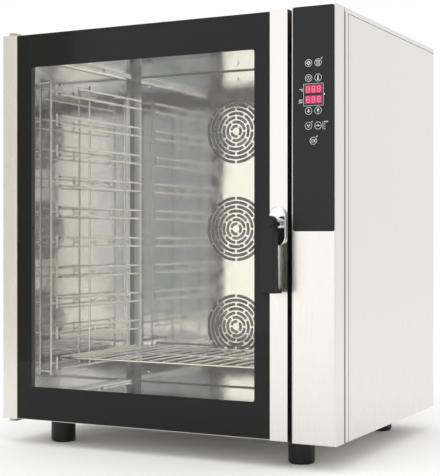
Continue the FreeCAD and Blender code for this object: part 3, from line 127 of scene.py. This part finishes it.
def colour(name, code, description):
    """Colour property with an sRGB hex default."""
    return FloatVectorProperty(name=name, description=description, default=linear(code), size=4, min=0, max=1,
                               subtype="COLOR")


def length(name, millimetres, description):
    """Length property with its default in millimetres."""
    return FloatProperty(name=name, description=description, default=millimetres * MM, min=0, precision=5,
                         unit="LENGTH")


class OvenColours(bpy.types.PropertyGroup):
    """Colours of the finishes and of the studio"""
    casing: colour("Casing", "#E3E0DA", "Satin stainless sheet of body, column and stiles")
    liner: colour("Liner", "#EEF1F3", "Bright stainless sheet inside the oven")
    inner_frame: colour("Inner frame", "#C9C6B6", "Heat-tinted frame inside the door")
    wire: colour("Wire", "#F9F9F7", "Racks and shelf")
    glass: colour("Glass", "#FEFCF7", "Both panes of the door")
    border: colour("Glass border", "#09090A", "Black enamel round the window")
    overlay: colour("Overlay", "#121315", "Printed film on the control column")
    cap: colour("Key caps", "#0F1012", "Round keys")
    ink: colour("Signs", "#D9DADC", "White printed signs")
    window: colour("Display window", "#B42C54", "Red filter over the digits")
    digit: colour("Digits", "#F4628B", "Lit segments")
    lever: colour("Lever", "#0E0F10", "Handle lever")
    foot: colour("Feet", "#0A0A0B", "Levelling feet and cable gland")
    chrome: colour("Chrome", "#EDEDEC", "Escutcheon and neck of the handle")
    seal: colour("Seal", "#4B4A44", "Door gasket and glass buffers")
    # Painted shade: black standing in for the shadow in the gap between the door's edge and the column
    trim: colour("Door trim", "#050505", "Rubber on the edge of the door")
    # Painted shade: dark grey standing in for the shadow where column and front frame meet
    sealant: colour("Sealant", "#57534E", "Bead between column and frame")
    # Painted shade: grey standing in for the shadows where frame and side panel meet and under the top cover's
    # lip
    filler: colour("Filler", "#9D9892", "Bead between frame and side panel")
    bush: colour("Hinge bushes", "#DAD7CC", "Plain bearings in the hinge stile")
    zinc: colour("Zinc plate", "#B9BAB6", "Brackets, screws, shafts and plates")
    pipe: colour("Pipes", "#CFCDC6", "Vent, drain and injectors")
    heater: colour("Heaters", "#8C8378", "Heating elements")
    casting: colour("Fan wheels", "#C4C6C8", "Cast wheels")
    brass: colour("Brass", "#C7A660", "Water valve")
    wool: colour("Insulation", "#BFA873", "Slabs between liner and casing")
    motor: colour("Motors", "#3B3D40", "Painted fan motors")
    board: colour("Board", "#2F6B45", "Control board")
    switch: colour("Switchgear", "#C9C8C0", "Contactors and terminal block")
    floor: colour("Floor", "#FBFBFA", "Studio floor")
    gauze: colour("Gauze", "#C2BEB1", "Screen that the left stile mirrors")
    room_card: colour("Grey card", "#8E969F", "Card that the liner mirrors")


class OvenSizes(bpy.types.PropertyGroup):
    """Sizes of the prints, the strip of painted shade on the door's edge and the strips of painted shade in the
    seams
    """
    ring_radius: length("Ring radius", 8.1, "Middle of the ring printed on each key")
    ring_width: length("Ring width", 0.95, "Line width of that ring")
    print_height: length("Print height", 0.08, "How far the prints stand proud")
    digit_height: length("Digit height", 14.6, "Height of one digit")
    digit_width: length("Digit width", 9.0, "Width of one digit")
    digit_pitch: length("Digit pitch", 13.2, "From one digit to the next")
    segment_width: length("Segment width", 2.1, "Width of one lit bar")
    segment_gap: length("Segment gap", 0.15, "Dark gap at each end of a bar")
    display_gap: length("Display gap", 4.8, "Between the two windows")
    frame_line: length("Display frame line", 0.8, "Line width of the frame round the displays")
    frame_side: length("Display frame side", 3.0, "From a window to the frame beside it")
    frame_over: length("Display frame top", 2.9, "From the upper window to the frame over it")
    frame_under: length("Display frame foot", 4.4, "From the lower window to the frame under it")
    frame_dot: length("Display dot", 1.6, "Radius of the dot beside the frame")
    clock_drop: length("Clock drop", 13.5, "Clock mark below the top of the frame")
    heat_rise: length("Heat rise", 11.0, "Heat mark above the foot of the frame")
    # Black strip of painted shade on the door's edge, beside the column
    trim_depth: length("Door trim depth", 34, "Depth of the rubber trim on the edge of the door")
    trim_height: length("Door trim height", 0.6, "How far that trim stands proud")
    # Strip of painted shade where column and front frame meet
    seam_width: length("Seam width", 5.0, "Sealant between column and frame")
    seam_height: length("Seam height", 1.2, "How far that sealant fills the step")
    # Strips of painted shade where frame and side panel meet and under the top cover's lip
    joint_width: length("Joint width", 3.2, "Filler between frame and side panel")
    joint_height: length("Joint height", 0.25, "How far the filler stands proud")
    cover_joint: length("Cover joint width", 1.1, "Filler under the lip of the top cover")
    lip_width: length("Column lip width", 1.3, "Edge of the fold that shows beside the door")
    lip_depth: length("Column lip depth", 16, "How far that fold goes back")
    lip_inset: length("Column lip inset", 2.0, "From the column's front back to the fold")


def add(tree, kind, inputs=None, **settings):
    """One node with its settings; an input is a value, or a socket that it is linked to."""
    made = tree.nodes.new(kind)
    for name, value in settings.items():
        setattr(made, name, value)
    for name, value in (inputs or {}).items():
        if isinstance(value, bpy.types.NodeSocket):
            tree.links.new(value, made.inputs[name])
        else:
            made.inputs[name].default_value = value
    return made


def shade(rgba, factor):
    """Colour with less light in it."""
    return [channel * factor for channel in rgba[:3]] + [1.0]


def shader_of(material):
    """The shader node of a material."""
    return next(node for node in material.node_tree.nodes if node.type == "BSDF_PRINCIPLED")


def surface(name, base, dark, tone, rough=None, grain=None, relief=None, detail=3.0, stretch=(1, 1, 1),
            **constants):
    """Material whose colour wanders down to a darker share over tone millimetres, and whose gloss wanders
    over grain millimetres. Relief is the size and depth of its bumps, and constants go to the shader's
    own sockets, with underscores for spaces."""
    material = bpy.data.materials.new(name)
    material.use_nodes = True
    tree = material.node_tree
    shader = shader_of(material)
    for socket, value in constants.items():
        shader.inputs[socket.replace("_", " ")].default_value = value
    place = add(tree, "ShaderNodeTexCoord").outputs["Object"]
    run = add(tree, "ShaderNodeMapping", {"Vector": place, "Scale": stretch}).outputs["Vector"]
    noise = {}
    for size in sorted({tone, grain or tone, relief[0] if relief else tone}):
        cloud = add(tree, "ShaderNodeTexNoise", {"Vector": run, "Scale": 1 / (size * MM), "Detail": detail})
        noise[size] = cloud.outputs["Fac"]
    mixed = add(tree, "ShaderNodeMix", {0: noise[tone], 6: shade(base, dark), 7: list(base)}, data_type="RGBA")
    tree.links.new(mixed.outputs[2], shader.inputs["Base Color"])
    if rough:
        gloss = add(tree, "ShaderNodeMapRange",
                    {"Value": noise[grain or tone], "From Min": NOISE_LOW, "From Max": NOISE_HIGH,
                     "To Min": rough[0], "To Max": rough[1]})
        tree.links.new(gloss.outputs["Result"], shader.inputs["Roughness"])
    if relief:
        bump = add(tree, "ShaderNodeBump", {"Height": noise[relief[0]], "Distance": relief[1] * MM})
        tree.links.new(bump.outputs["Normal"], shader.inputs["Normal"])
    return material


# Materials

def satin_stainless(colours):
    """Stainless sheet ground with a belt: soft broad reflections and a faint upright grain.
    The grain is 0.2 mm in reality and drawn at 3 mm so that it shows at all."""
    return surface("satin_stainless", colours.casing, 0.99, 180.0, (0.25, 0.28), 3.0, (3.0, 0.0008),
                   stretch=(1, 1, 0.02), Metallic=1.0)


def bright_stainless(colours):
    """Bright-annealed stainless sheet: nearly a mirror, a little hazy, wavy from being welded, and dulled
    by heat in the fan chamber behind the baffle."""
    material = surface("bright_stainless", colours.liner, 0.92, 140.0, (0.07, 0.13), 25.0, (110.0, 0.5),
                       detail=1.0, Metallic=1.0)
    tree = material.node_tree
    place = add(tree, "ShaderNodeSeparateXYZ", {0: add(tree, "ShaderNodeTexCoord").outputs["Object"]})
    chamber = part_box("fan_baffle")[0].y + CHAMBER_START
    dull = add(tree, "ShaderNodeMapRange", {"Value": place.outputs["Y"], "From Min": chamber,
                                            "From Max": chamber + CHAMBER_START, "To Max": DULLED_BY_HEAT})
    gloss = shader_of(material).inputs["Roughness"]
    both = add(tree, "ShaderNodeMath", {0: gloss.links[0].from_socket, 1: dull.outputs["Result"]})
    tree.links.new(both.outputs[0], gloss)
    return material


def heat_tinted_stainless(colours):
    """Stainless sheet that heat has tinted: straw-coloured, cloudy and half dull."""
    return surface("heat_tinted_stainless", colours.inner_frame, 0.75, 90.0, (0.3, 0.45), Metallic=1.0)


def electropolished_wire(colours):
    """Drawn stainless wire, electropolished: bright, with fine draw marks shown at 4 mm."""
    return surface("electropolished_wire", colours.wire, 0.9, 4.0, (0.08, 0.16), Metallic=1.0)


def float_glass(colours):
    """Toughened float glass: clear and flat, with a weak reflection and the faintest roller wave."""
    return surface("float_glass", colours.glass, 0.985, 260.0, detail=0.0, Roughness=0.0, IOR=1.38,
                   Transmission_Weight=1.0)


def fired_enamel(colours):
    """Ceramic ink fired on the back of the glass: dense black with a slightly uneven coat."""
    return surface("fired_enamel", colours.border, 0.8, 60.0, (0.5, 0.65), Specular_IOR_Level=0.0)


def polyester_film(colours):
    """Textured polyester film: satin black whose grit, 0.1 mm in reality, is drawn at 0.8 mm."""
    return surface("polyester_film", colours.overlay, 0.9, 0.8, (0.32, 0.42), relief=(0.8, 0.01), IOR=1.4)


def embossed_film(colours):
    """The same film pressed up into round keys: a little duller where fingers touch it."""
    return surface("embossed_film", colours.cap, 0.9, 0.8, (0.38, 0.48), relief=(0.8, 0.01), IOR=1.4)


def screen_ink(colours):
    """Screen-printed white ink: matt and opaque, a touch uneven from the mesh."""
    return surface("screen_ink", colours.ink, 0.93, 0.6, (0.5, 0.7))


def red_acrylic(colours):
    """Cast red acrylic in front of a display: glossy, and glowing dimly from behind."""
    return surface("red_acrylic", shade(colours.window, UNLIT_SHARE), 0.7, 1.5, (0.18, 0.3), IOR=1.49,
                   Emission_Color=list(colours.window), Emission_Strength=0.7)


def lit_diode(colours):
    """Light bars moulded of clear resin over diodes: they glow evenly in their own red."""
    return surface("lit_diode", shade(colours.digit, UNLIT_SHARE), 0.7, 1.5, (0.18, 0.3), IOR=1.49,
                   Emission_Color=list(colours.digit), Emission_Strength=1.0)


def moulded_nylon(colours):
    """Glass-filled nylon from a spark-eroded mould: black with an even fine grain of about 1 mm."""
    return surface("moulded_nylon", colours.lever, 0.88, 1.1, (0.36, 0.48), relief=(1.1, 0.03), IOR=1.4)


def moulded_polypropylene(colours):
    """Injection-moulded polypropylene: black, faintly waxy, with a soft grain of about 1 mm."""
    return surface("moulded_polypropylene", colours.foot, 0.88, 1.1, (0.36, 0.48), relief=(1.1, 0.03), IOR=1.4)


def chrome_plate(colours):
    """Chrome plate on a zinc die casting: a hard bright mirror with hardly visible polishing marks."""
    return surface("chrome_plate", colours.chrome, 0.94, 5.0, (0.04, 0.1), Metallic=1.0)


def extruded_silicone(colours):
    """Extruded silicone rubber: dull, with a slight bloom along its length."""
    return surface("extruded_silicone", colours.seal, 0.8, 14.0, (0.55, 0.75), IOR=1.41)


def extruded_rubber(colours):
    """Black strip of painted shade in the gap beside the door: deep black and dull, with a fine texture drawn
    at 0.8 mm.
    """
    return surface("extruded_rubber", colours.trim, 0.9, 0.8, (0.5, 0.6), relief=(0.8, 0.01), IOR=1.4)


def smoothed_sealant(colours):
    """Dark grey strip of painted shade where column and front frame meet: matt, with a slight waver of about 6
    mm.
    """
    return surface("smoothed_sealant", colours.sealant, 0.9, 6.0, (0.6, 0.7), relief=(6.0, 0.02), IOR=1.41)


def smoothed_filler(colours):
    """Pale grey strip of painted shade where frame and side panel meet and under the top cover's lip: matt,
    with a slight waver of about 6 mm.
    """
    return surface("smoothed_filler", colours.filler, 0.9, 6.0, (0.6, 0.7), relief=(6.0, 0.02), IOR=1.41)


def machined_acetal(colours):
    """Turned acetal: milky white and smooth, with faint tool marks."""
    return surface("machined_acetal", colours.bush, 0.85, 8.0, (0.35, 0.5), relief=(2.0, 0.01), IOR=1.48)


def zinc_plated_steel(colours):
    """Zinc-plated and passivated steel: cool grey with cloudy patches."""
    return surface("zinc_plated_steel", colours.zinc, 0.75, 12.0, (0.3, 0.45), relief=(12.0, 0.02),
                   Metallic=1.0)


def pickled_stainless(colours):
    """Stainless tube pickled after welding: even light grey, half matt."""
    return surface("pickled_stainless", colours.pipe, 0.75, 20.0, (0.25, 0.4), relief=(20.0, 0.02),
                   Metallic=1.0)


def oxidised_alloy(colours):
    """Heater sheath browned by its own heat: dark straw with a dull skin."""
    return surface("oxidised_alloy", colours.heater, 0.75, 15.0, (0.4, 0.55), relief=(15.0, 0.02), Metallic=1.0)


def cast_aluminium(colours):
    """Die-cast aluminium: pale grey with the fine pebbling of the mould, about 4 mm."""
    return surface("cast_aluminium", colours.casting, 0.75, 4.0, (0.38, 0.53), relief=(4.0, 0.02), Metallic=1.0)


def turned_brass(colours):
    """Turned brass left bare: warm yellow with handling marks."""
    return surface("turned_brass", colours.brass, 0.75, 6.0, (0.28, 0.43), relief=(6.0, 0.01), Metallic=1.0)


def mineral_wool(colours):
    """Felted mineral wool: dull ochre fibres in tufts of about 5 mm."""
    return surface("mineral_wool", colours.wool, 0.7, 5.0, (0.9, 1.0), relief=(5.0, 0.25))


def stoved_paint(colours):
    """Stoved paint on a motor: dark grey with a fine orange peel."""
    return surface("stoved_paint", colours.motor, 0.8, 6.0, (0.4, 0.55), relief=(6.0, 0.05))


def glass_epoxy(colours):
    """Lacquered glass-epoxy board: green with the weave, drawn at 3 mm, just showing through."""
    return surface("glass_epoxy", colours.board, 0.75, 3.0, (0.45, 0.6), relief=(3.0, 0.02), IOR=1.55)


def moulded_thermoset(colours):
    """Moulded thermoset: off-white, matt, with flow marks of a few millimetres."""
    return surface("moulded_thermoset", colours.switch, 0.85, 3.0, (0.5, 0.65), relief=(3.0, 0.03))


def matt_vinyl(colours):
    """Matt vinyl studio floor: nearly white, with hardly any mottle."""
    return surface("matt_vinyl", colours.floor, 0.985, 60.0, Roughness=0.9, Specular_IOR_Level=0.0)


def stretched_gauze(colours):
    """Warm white gauze stretched on a frame: matt, and thinned to nothing towards its right edge, so that
    its image in the metal fades out."""
    material = surface("stretched_gauze", colours.gauze, 0.97, 40.0, Roughness=0.9, Specular_IOR_Level=0.0)
    tree = material.node_tree
    place = add(tree, "ShaderNodeSeparateXYZ", {0: add(tree, "ShaderNodeTexCoord").outputs["Object"]})
    thread = add(tree, "ShaderNodeMapRange", {"Value": place.outputs["X"], "From Min": GAUZE_FULL,
                                              "From Max": GAUZE_BARE, "To Min": 1.0, "To Max": 0.0})
    tree.links.new(thread.outputs["Result"], shader_of(material).inputs["Alpha"])
    return material


def grey_cardboard(colours):
    """Uncoated grey card: matt with a soft nap."""
    return surface("grey_cardboard", colours.room_card, 0.97, 40.0, Roughness=0.9, Specular_IOR_Level=0.0)


def ready(maker):
    """What a material's function gives, made once and then shared."""
    return bpy.data.materials.get(maker.__name__) or maker(bpy.context.scene.oven_colours)


def dress(maker, *nodes):
    """Give CAD nodes a finish."""
    for name in nodes:
        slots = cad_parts[name].material_slots
        if not slots:
            raise RuntimeError(name + " has no place for a material")
        for slot in slots:
            slot.material = ready(maker)


# Flat prints

def arc(x, z, radius, start, end, steps=ROUND_STEPS):
    """Points along a part of a circle, between angles in degrees."""
    turns = [math.radians(start + (end - start) * step / steps) for step in range(steps + 1)]
    return [(x + radius * math.cos(turn), z + radius * math.sin(turn)) for turn in turns]


def disc(x, z, radius):
    """Points round a circle."""
    return arc(x, z, radius, 0, 360)[:-1]


def bead(middle, width, bottom, top):
    """Outline of an upright strip with round ends."""
    half = width / 2
    upper = arc(middle, top - half, half, 0, 180, BEAD_STEPS)
    return upper + arc(middle, bottom + half, half, 180, 360, BEAD_STEPS)


def ribbon(points, width, closed=False):
    """Quads along a line, mitred at its corners."""
    line = [Vector(point) for point in points]
    count = len(line)
    sides = []
    for index, point in enumerate(line):
        before = line[index - 1] if closed or index else None
        after = line[(index + 1) % count] if closed or index < count - 1 else None
        ways = [(b - a).normalized() for a, b in ((before, point), (point, after)) if a and b]
        across = sum((Vector((-way.y, way.x)) for way in ways), Vector((0, 0))).normalized()
        reach = width / 2 / max(MITRE_LIMIT, across.dot(Vector((-ways[0].y, ways[0].x))))
        sides.append((point + across * reach, point - across * reach))
    for index in range(count if closed else count - 1):
        (a, b), (c, d) = sides[index], sides[(index + 1) % count]
        yield [a, c, d, b]


def drawn(strokes):
    """Outlines of a sign, in millimetres."""
    for kind, points, size in strokes:
        if kind == "dot":
            yield from (disc(x, z, size) for x, z in points)
        elif kind == "patch":
            yield points
        elif kind == "ring":
            for x, z in points:
                yield from ribbon(disc(x, z, size), FINE_LINE, True)
        else:
            yield from ribbon(points, size, kind == "loop")


def placed(outlines, x, z):
    """Outlines in millimetres moved to a place in metres."""
    return [[(x + u * MM, z + w * MM) for u, w in outline] for outline in outlines]


def digit_outlines(sizes):
    """Seven bars of one digit with pointed ends, in millimetres from its middle."""
    half_w = (sizes.digit_width - sizes.segment_width) / 2 / MM
    half_h = (sizes.digit_height - sizes.segment_width) / 2 / MM
    tip = sizes.segment_width / 2 / MM
    gap = sizes.segment_gap / MM
    flat = [((-half_w, z), (half_w, z)) for z in (half_h, 0, -half_h)]
    upright = [((x, z), (x, z + half_h)) for x in (-half_w, half_w) for z in (0, -half_h)]
    for start, end in flat + upright:
        along = (Vector(end) - Vector(start)).normalized()
        across = Vector((-along.y, along.x)) * tip
        start, end = Vector(start) + along * gap, Vector(end) - along * gap
        yield [start, start + along * tip + across, end - along * tip + across, end,
               end - along * tip - across, start + along * tip - across]


def on_front(u, w, out):
    """Point of a print that faces the user."""
    return u, -out, w


def on_right(u, w, out):
    """Point of a print that faces the right."""
    return out, u, w


def printed(name, outlines, base, height, body, maker, face=on_front):
    """One object of thin closed prints: flat outlines in metres that stand out from base by height."""
    mesh = bmesh.new()
    for outline in outlines:
        mesh.faces.new([mesh.verts.new((u, w, 0)) for u, w in outline])
    bmesh.ops.remove_doubles(mesh, verts=mesh.verts, dist=WELD)
    grown = bmesh.ops.extrude_face_region(mesh, geom=mesh.faces[:])
    for item in grown["geom"]:
        if isinstance(item, bmesh.types.BMVert):
            item.co.z = height
    for vertex in mesh.verts:
        vertex.co = face(vertex.co.x, vertex.co.y, base + vertex.co.z)
    bmesh.ops.recalc_face_normals(mesh, faces=mesh.faces)
    if any(len(edge.link_faces) != 2 for edge in mesh.edges):
        raise RuntimeError(name + " isn't closed")
    piece = hung(name, mesh, maker)
    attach(piece, body)


def hung(name, mesh, maker):
    """Object of a finished mesh in the scene, with its material."""
    data = bpy.data.meshes.new(name)
    mesh.to_mesh(data)
    mesh.free()
    data.materials.append(ready(maker))
    piece = bpy.data.objects.new(name, data)
    bpy.context.scene.collection.objects.link(piece)
    return piece


# Stage

def make_sheet(name, corners, maker):
    """Flat sheet of the studio: the floor, or what stands out of sight for the metal to mirror."""
    mesh = bmesh.new()
    mesh.faces.new([mesh.verts.new(corner) for corner in corners])
    sheet = hung(name, mesh, maker)
    return sheet


def make_world():
    """Even white surround; seen directly, in metal or through glass it is plain white."""
    world = bpy.data.worlds.new("studio")
    world.use_nodes = True
    tree = world.node_tree
    path = add(tree, "ShaderNodeLightPath")
    seen = path.outputs["Is Camera Ray"]
    for ray in ("Is Glossy Ray", "Is Transmission Ray"):
        seen = add(tree, "ShaderNodeMath", {0: seen, 1: path.outputs[ray]}, operation="MAXIMUM").outputs[0]
    strength = add(tree, "ShaderNodeMapRange", {"Value": seen, "To Min": WORLD_LEVEL, "To Max": 1.0})
    background = next(node for node in tree.nodes if node.type == "BACKGROUND")
    background.inputs["Color"].default_value = linear("#FFFFFF")
    tree.links.new(strength.outputs["Result"], background.inputs["Strength"])
    bpy.context.scene.world = world


def make_lamp(name, place, target, size, watts):
    """Soft flat lamp aimed at a point; the two small ones are the oven's own light beside the baffle."""
    light = bpy.data.lights.new(name, "AREA")
    light.shape = "RECTANGLE"
    light.size, light.size_y = size
    light.energy = watts
    lamp = bpy.data.objects.new(name, light)
    lamp.location = place
    lamp.rotation_euler = (Vector(target) - Vector(place)).to_track_quat("-Z", "Y").to_euler()
    bpy.context.scene.collection.objects.link(lamp)


def make_camera():
    """Level camera at the photograph's place, and plain colour output."""
    camera = bpy.data.cameras.new("camera")
    camera.lens = CAMERA_LENS
    camera.shift_y = CAMERA_SHIFT
    holder = bpy.data.objects.new("camera", camera)
    holder.location = CAMERA_PLACE
    holder.rotation_euler = (math.pi / 2, 0, CAMERA_HEADING)
    bpy.context.scene.collection.objects.link(holder)
    bpy.context.scene.camera = holder
    bpy.context.scene.view_settings.view_transform = "Standard"


# Operators

class OVEN_OT_casing(bpy.types.Operator):
    """Finish the body, the column, the door's rails and stiles, and the feet"""
    bl_idname = "oven.casing"
    bl_label = "Casing"

    def execute(self, context):
        dress(satin_stainless, "base_pan", "front_frame", "left_side_panel", "right_side_panel", "top_cover",
              "back_panel", "control_column", "door_hinge_stile", "door_handle_stile", "door_rails")
        dress(moulded_polypropylene, "levelling_feet", "cable_gland")
        return {"FINISHED"}


class OVEN_OT_cavity(bpy.types.Operator):
    """Finish the oven's inside, its racks, shelf, baffle and seal"""
    bl_idname = "oven.cavity"
    bl_label = "Cavity"

    def execute(self, context):
        dress(bright_stainless, "cavity_liner", "fan_baffle", "baffle_screws")
        dress(electropolished_wire, "left_rack", "right_rack", "wire_shelf")
        dress(extruded_silicone, "door_gasket", "glass_spacers")
        return {"FINISHED"}


class OVEN_OT_door(bpy.types.Operator):
    """Finish the panes, the black border, the inner frame and the handle"""
    bl_idname = "oven.door"
    bl_label = "Door"

    def execute(self, context):
        dress(float_glass, "outer_glass", "inner_glass")
        dress(fired_enamel, "glass_border")
        dress(heat_tinted_stainless, "inner_frame")
        dress(chrome_plate, "handle_escutcheon", "handle_neck")
        dress(moulded_nylon, "handle_lever")
        dress(machined_acetal, "hinge_bushes")
        return {"FINISHED"}


class OVEN_OT_controls(bpy.types.Operator):
    """Finish the overlay, the key caps and the display windows"""
    bl_idname = "oven.controls"
    bl_label = "Controls"

    def execute(self, context):
        dress(polyester_film, "control_overlay")
        dress(embossed_film, *["key_" + name for name in KEYS])
        dress(red_acrylic, "display_modules")
        return {"FINISHED"}


class OVEN_OT_key_signs(bpy.types.Operator):
    """Print a ring and a sign on every key"""
    bl_idname = "oven.key_signs"
    bl_label = "Key signs"

    def execute(self, context):
        sizes = context.scene.oven_sizes
        ring = list(ribbon(disc(0, 0, sizes.ring_radius / MM), sizes.ring_width / MM, True))
        for name in KEYS:
            low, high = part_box("key_" + name)
            outlines = placed(ring + list(drawn(SIGNS[name])), (low.x + high.x) / 2, (low.z + high.z) / 2)
            printed("symbol_" + name, outlines, -low.y, sizes.print_height, "key_" + name,
                    screen_ink)
        return {"FINISHED"}


class OVEN_OT_display_digits(bpy.types.Operator):
    """Light three digits in each display window"""
    bl_idname = "oven.display_digits"
    bl_label = "Display digits"

    def execute(self, context):
        sizes = context.scene.oven_sizes
        low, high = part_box("display_modules")
        middle = (low.x + high.x) / 2
        window = (high.z - low.z - sizes.display_gap) / 2
        outlines = []
        for z in (low.z + window / 2, high.z - window / 2):
            for place in (-1, 0, 1):
                outlines += placed(digit_outlines(sizes), middle + place * sizes.digit_pitch, z)
        printed("display_digits", outlines, -low.y, sizes.print_height, "cabinet", lit_diode)
        return {"FINISHED"}


class OVEN_OT_overlay_print(bpy.types.Operator):
    """Print the frame round the displays and the small marks beside the keys"""
    bl_idname = "oven.overlay_print"
    bl_label = "Overlay print"

    def execute(self, context):
        sizes = context.scene.oven_sizes
        low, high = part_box("display_modules")
        near = low - Vector((sizes.frame_side, 0, sizes.frame_under))
        far = high + Vector((sizes.frame_side, 0, sizes.frame_over))
        corners = [(near.x, near.z), (far.x, near.z), (far.x, far.z), (near.x, far.z)]
        outlines = list(ribbon(corners, sizes.frame_line, True))
        outlines.append(disc(far.x + sizes.frame_line + sizes.frame_dot, (near.z + far.z) / 2, sizes.frame_dot))
        for name, strokes in MARKS.items():
            key_low, key_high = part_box("key_" + name)
            outlines += placed(drawn(strokes), (key_low.x + key_high.x) / 2, (key_low.z + key_high.z) / 2)
        for strokes, z in ((CLOCK, far.z - sizes.clock_drop), (HEAT, near.z + sizes.heat_rise)):
            outlines += placed(drawn(strokes), near.x, z)
        front = -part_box("control_overlay")[0].y
        printed("overlay_print", outlines, front, sizes.print_height, "cabinet", screen_ink)
        return {"FINISHED"}


class OVEN_OT_edges(bpy.types.Operator):
    """Lay the black strip of painted shade on the door's edge, the strips of painted shade in the right side's
    seams and the lip of the column
    """
    bl_idname = "oven.edges"
    bl_label = "Trim, seams and lip"

    def execute(self, context):
        sizes = context.scene.oven_sizes
        low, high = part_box("door_handle_stile")
        # Black strip of painted shade on the stile's edge, where the gap to the column lies in shadow
        trim = bead(high.x + sizes.trim_height / 2, sizes.trim_height, low.z, high.z)
        printed("door_gap_shade_strip", [trim], -low.y - sizes.trim_depth, sizes.trim_depth - sizes.trim_height,
                "door", extruded_rubber)
        column_low, column_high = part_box("control_column")
        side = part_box("front_frame")[1]
        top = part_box("top_cover")[0].z
        # Dark grey strip of painted shade where column and front frame meet
        seam = bead(column_high.y + sizes.seam_width / 2, sizes.seam_width, column_low.z, top)
        printed("column_seam_shade", [seam], side.x, sizes.seam_height, "cabinet", smoothed_sealant,
                on_right)
        panel_low, panel_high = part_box("right_side_panel")
        # Grey strips of painted shade where frame and side panel meet, then under the top cover's lip
        joint = bead((side.y + panel_low.y) / 2, sizes.joint_width, column_low.z, top)
        printed("panel_joint_shade", [joint], side.x, sizes.joint_height, "cabinet", smoothed_filler,
                on_right)
        start = panel_low.y + sizes.joint_width
        under_lip = bead(top - sizes.cover_joint / 2, sizes.cover_joint, start, panel_high.y)
        printed("cover_joint", [[(along, up) for up, along in under_lip]], panel_high.x, sizes.joint_height,
                "cabinet", smoothed_filler, on_right)
        lip = bead(column_low.x - sizes.lip_width / 2, sizes.lip_width, column_low.z, column_high.z)
        printed("column_lip", [lip], -column_low.y - sizes.lip_inset - sizes.lip_depth, sizes.lip_depth,
                "cabinet", satin_stainless)
        return {"FINISHED"}


class OVEN_OT_workings(bpy.types.Operator):
    """Finish the fans, heaters, electrics, fittings and hardware"""
    bl_idname = "oven.workings"
    bl_label = "Workings"

    def execute(self, context):
        dress(zinc_plated_steel, "hinge_brackets", "latch_keeper", "latch_spindle", "panel_screws",
              "motor_plate", "electrics_plate", *["fan_shaft_" + name for name in FANS])
        dress(pickled_stainless, "vent_pipe", "drain_pipe", "steam_injectors")
        dress(oxidised_alloy, "heating_elements")
        dress(cast_aluminium, *["fan_wheel_" + name for name in FANS])
        dress(turned_brass, "water_valve")
        dress(mineral_wool, "insulation_slabs")
        dress(stoved_paint, "fan_motors")
        dress(glass_epoxy, "control_board")
        dress(moulded_thermoset, "switchgear")
        return {"FINISHED"}


class OVEN_OT_stage(bpy.types.Operator):
    """Set up the floor, the screen and card that the metal mirrors, the light and the camera"""
    bl_idname = "oven.stage"
    bl_label = "Stage"

    def execute(self, context):
        sides = (-FLOOR_REACH, FLOOR_REACH)
        make_sheet("floor", [(x, y * x / FLOOR_REACH, -FLOOR_DROP) for x in sides for y in sides], matt_vinyl)
        for name, maker in (("stile_screen", stretched_gauze), ("room_card", grey_cardboard)):
            left, right, height = CARDS[name]
            corners = [(*left, 0), (*right, 0), (*right, height), (*left, height)]
            card = make_sheet(name, corners, maker)
            card.visible_camera = card.visible_diffuse = card.visible_shadow = False
        make_world()
        for name, setting in LAMPS.items():
            make_lamp(name, *setting)
        make_camera()
        return {"FINISHED"}


STEPS = (OVEN_OT_casing, OVEN_OT_cavity, OVEN_OT_door, OVEN_OT_controls, OVEN_OT_key_signs,
         OVEN_OT_display_digits, OVEN_OT_overlay_print, OVEN_OT_edges, OVEN_OT_workings, OVEN_OT_stage)


class OVEN_PT_panel(bpy.types.Panel):
    """Lists the sizes, the colours and the steps that dress the oven"""
    bl_idname = "OVEN_PT_panel"
    bl_label = "Combi oven"
    bl_space_type = "VIEW_3D"
    bl_region_type = "UI"
    bl_category = "Oven"

    def draw(self, context):
        for group in (context.scene.oven_colours, context.scene.oven_sizes):
            for name in group.__annotations__:
                self.layout.prop(group, name)
        for step in STEPS:
            self.layout.operator(step.bl_idname)


CLASSES = (OvenColours, OvenSizes) + STEPS + (OVEN_PT_panel,)


def register():
    """Make the classes and their settings known to Blender."""
    for item in CLASSES:
        bpy.utils.register_class(item)
    bpy.types.Scene.oven_colours = PointerProperty(type=OvenColours)
    bpy.types.Scene.oven_sizes = PointerProperty(type=OvenSizes)


def unregister():
    """Take the settings and the classes back."""
    del bpy.types.Scene.oven_sizes
    del bpy.types.Scene.oven_colours
    for item in reversed(CLASSES):
        bpy.utils.unregister_class(item)


def main():
    """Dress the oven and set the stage."""
    register()
    bpy.ops.oven.casing()
    bpy.ops.oven.cavity()
    bpy.ops.oven.door()
    bpy.ops.oven.controls()
    bpy.ops.oven.key_signs()
    bpy.ops.oven.display_digits()
    bpy.ops.oven.overlay_print()
    bpy.ops.oven.edges()
    bpy.ops.oven.workings()
    bpy.ops.oven.stage()


if __name__ == "__main__":
    main()
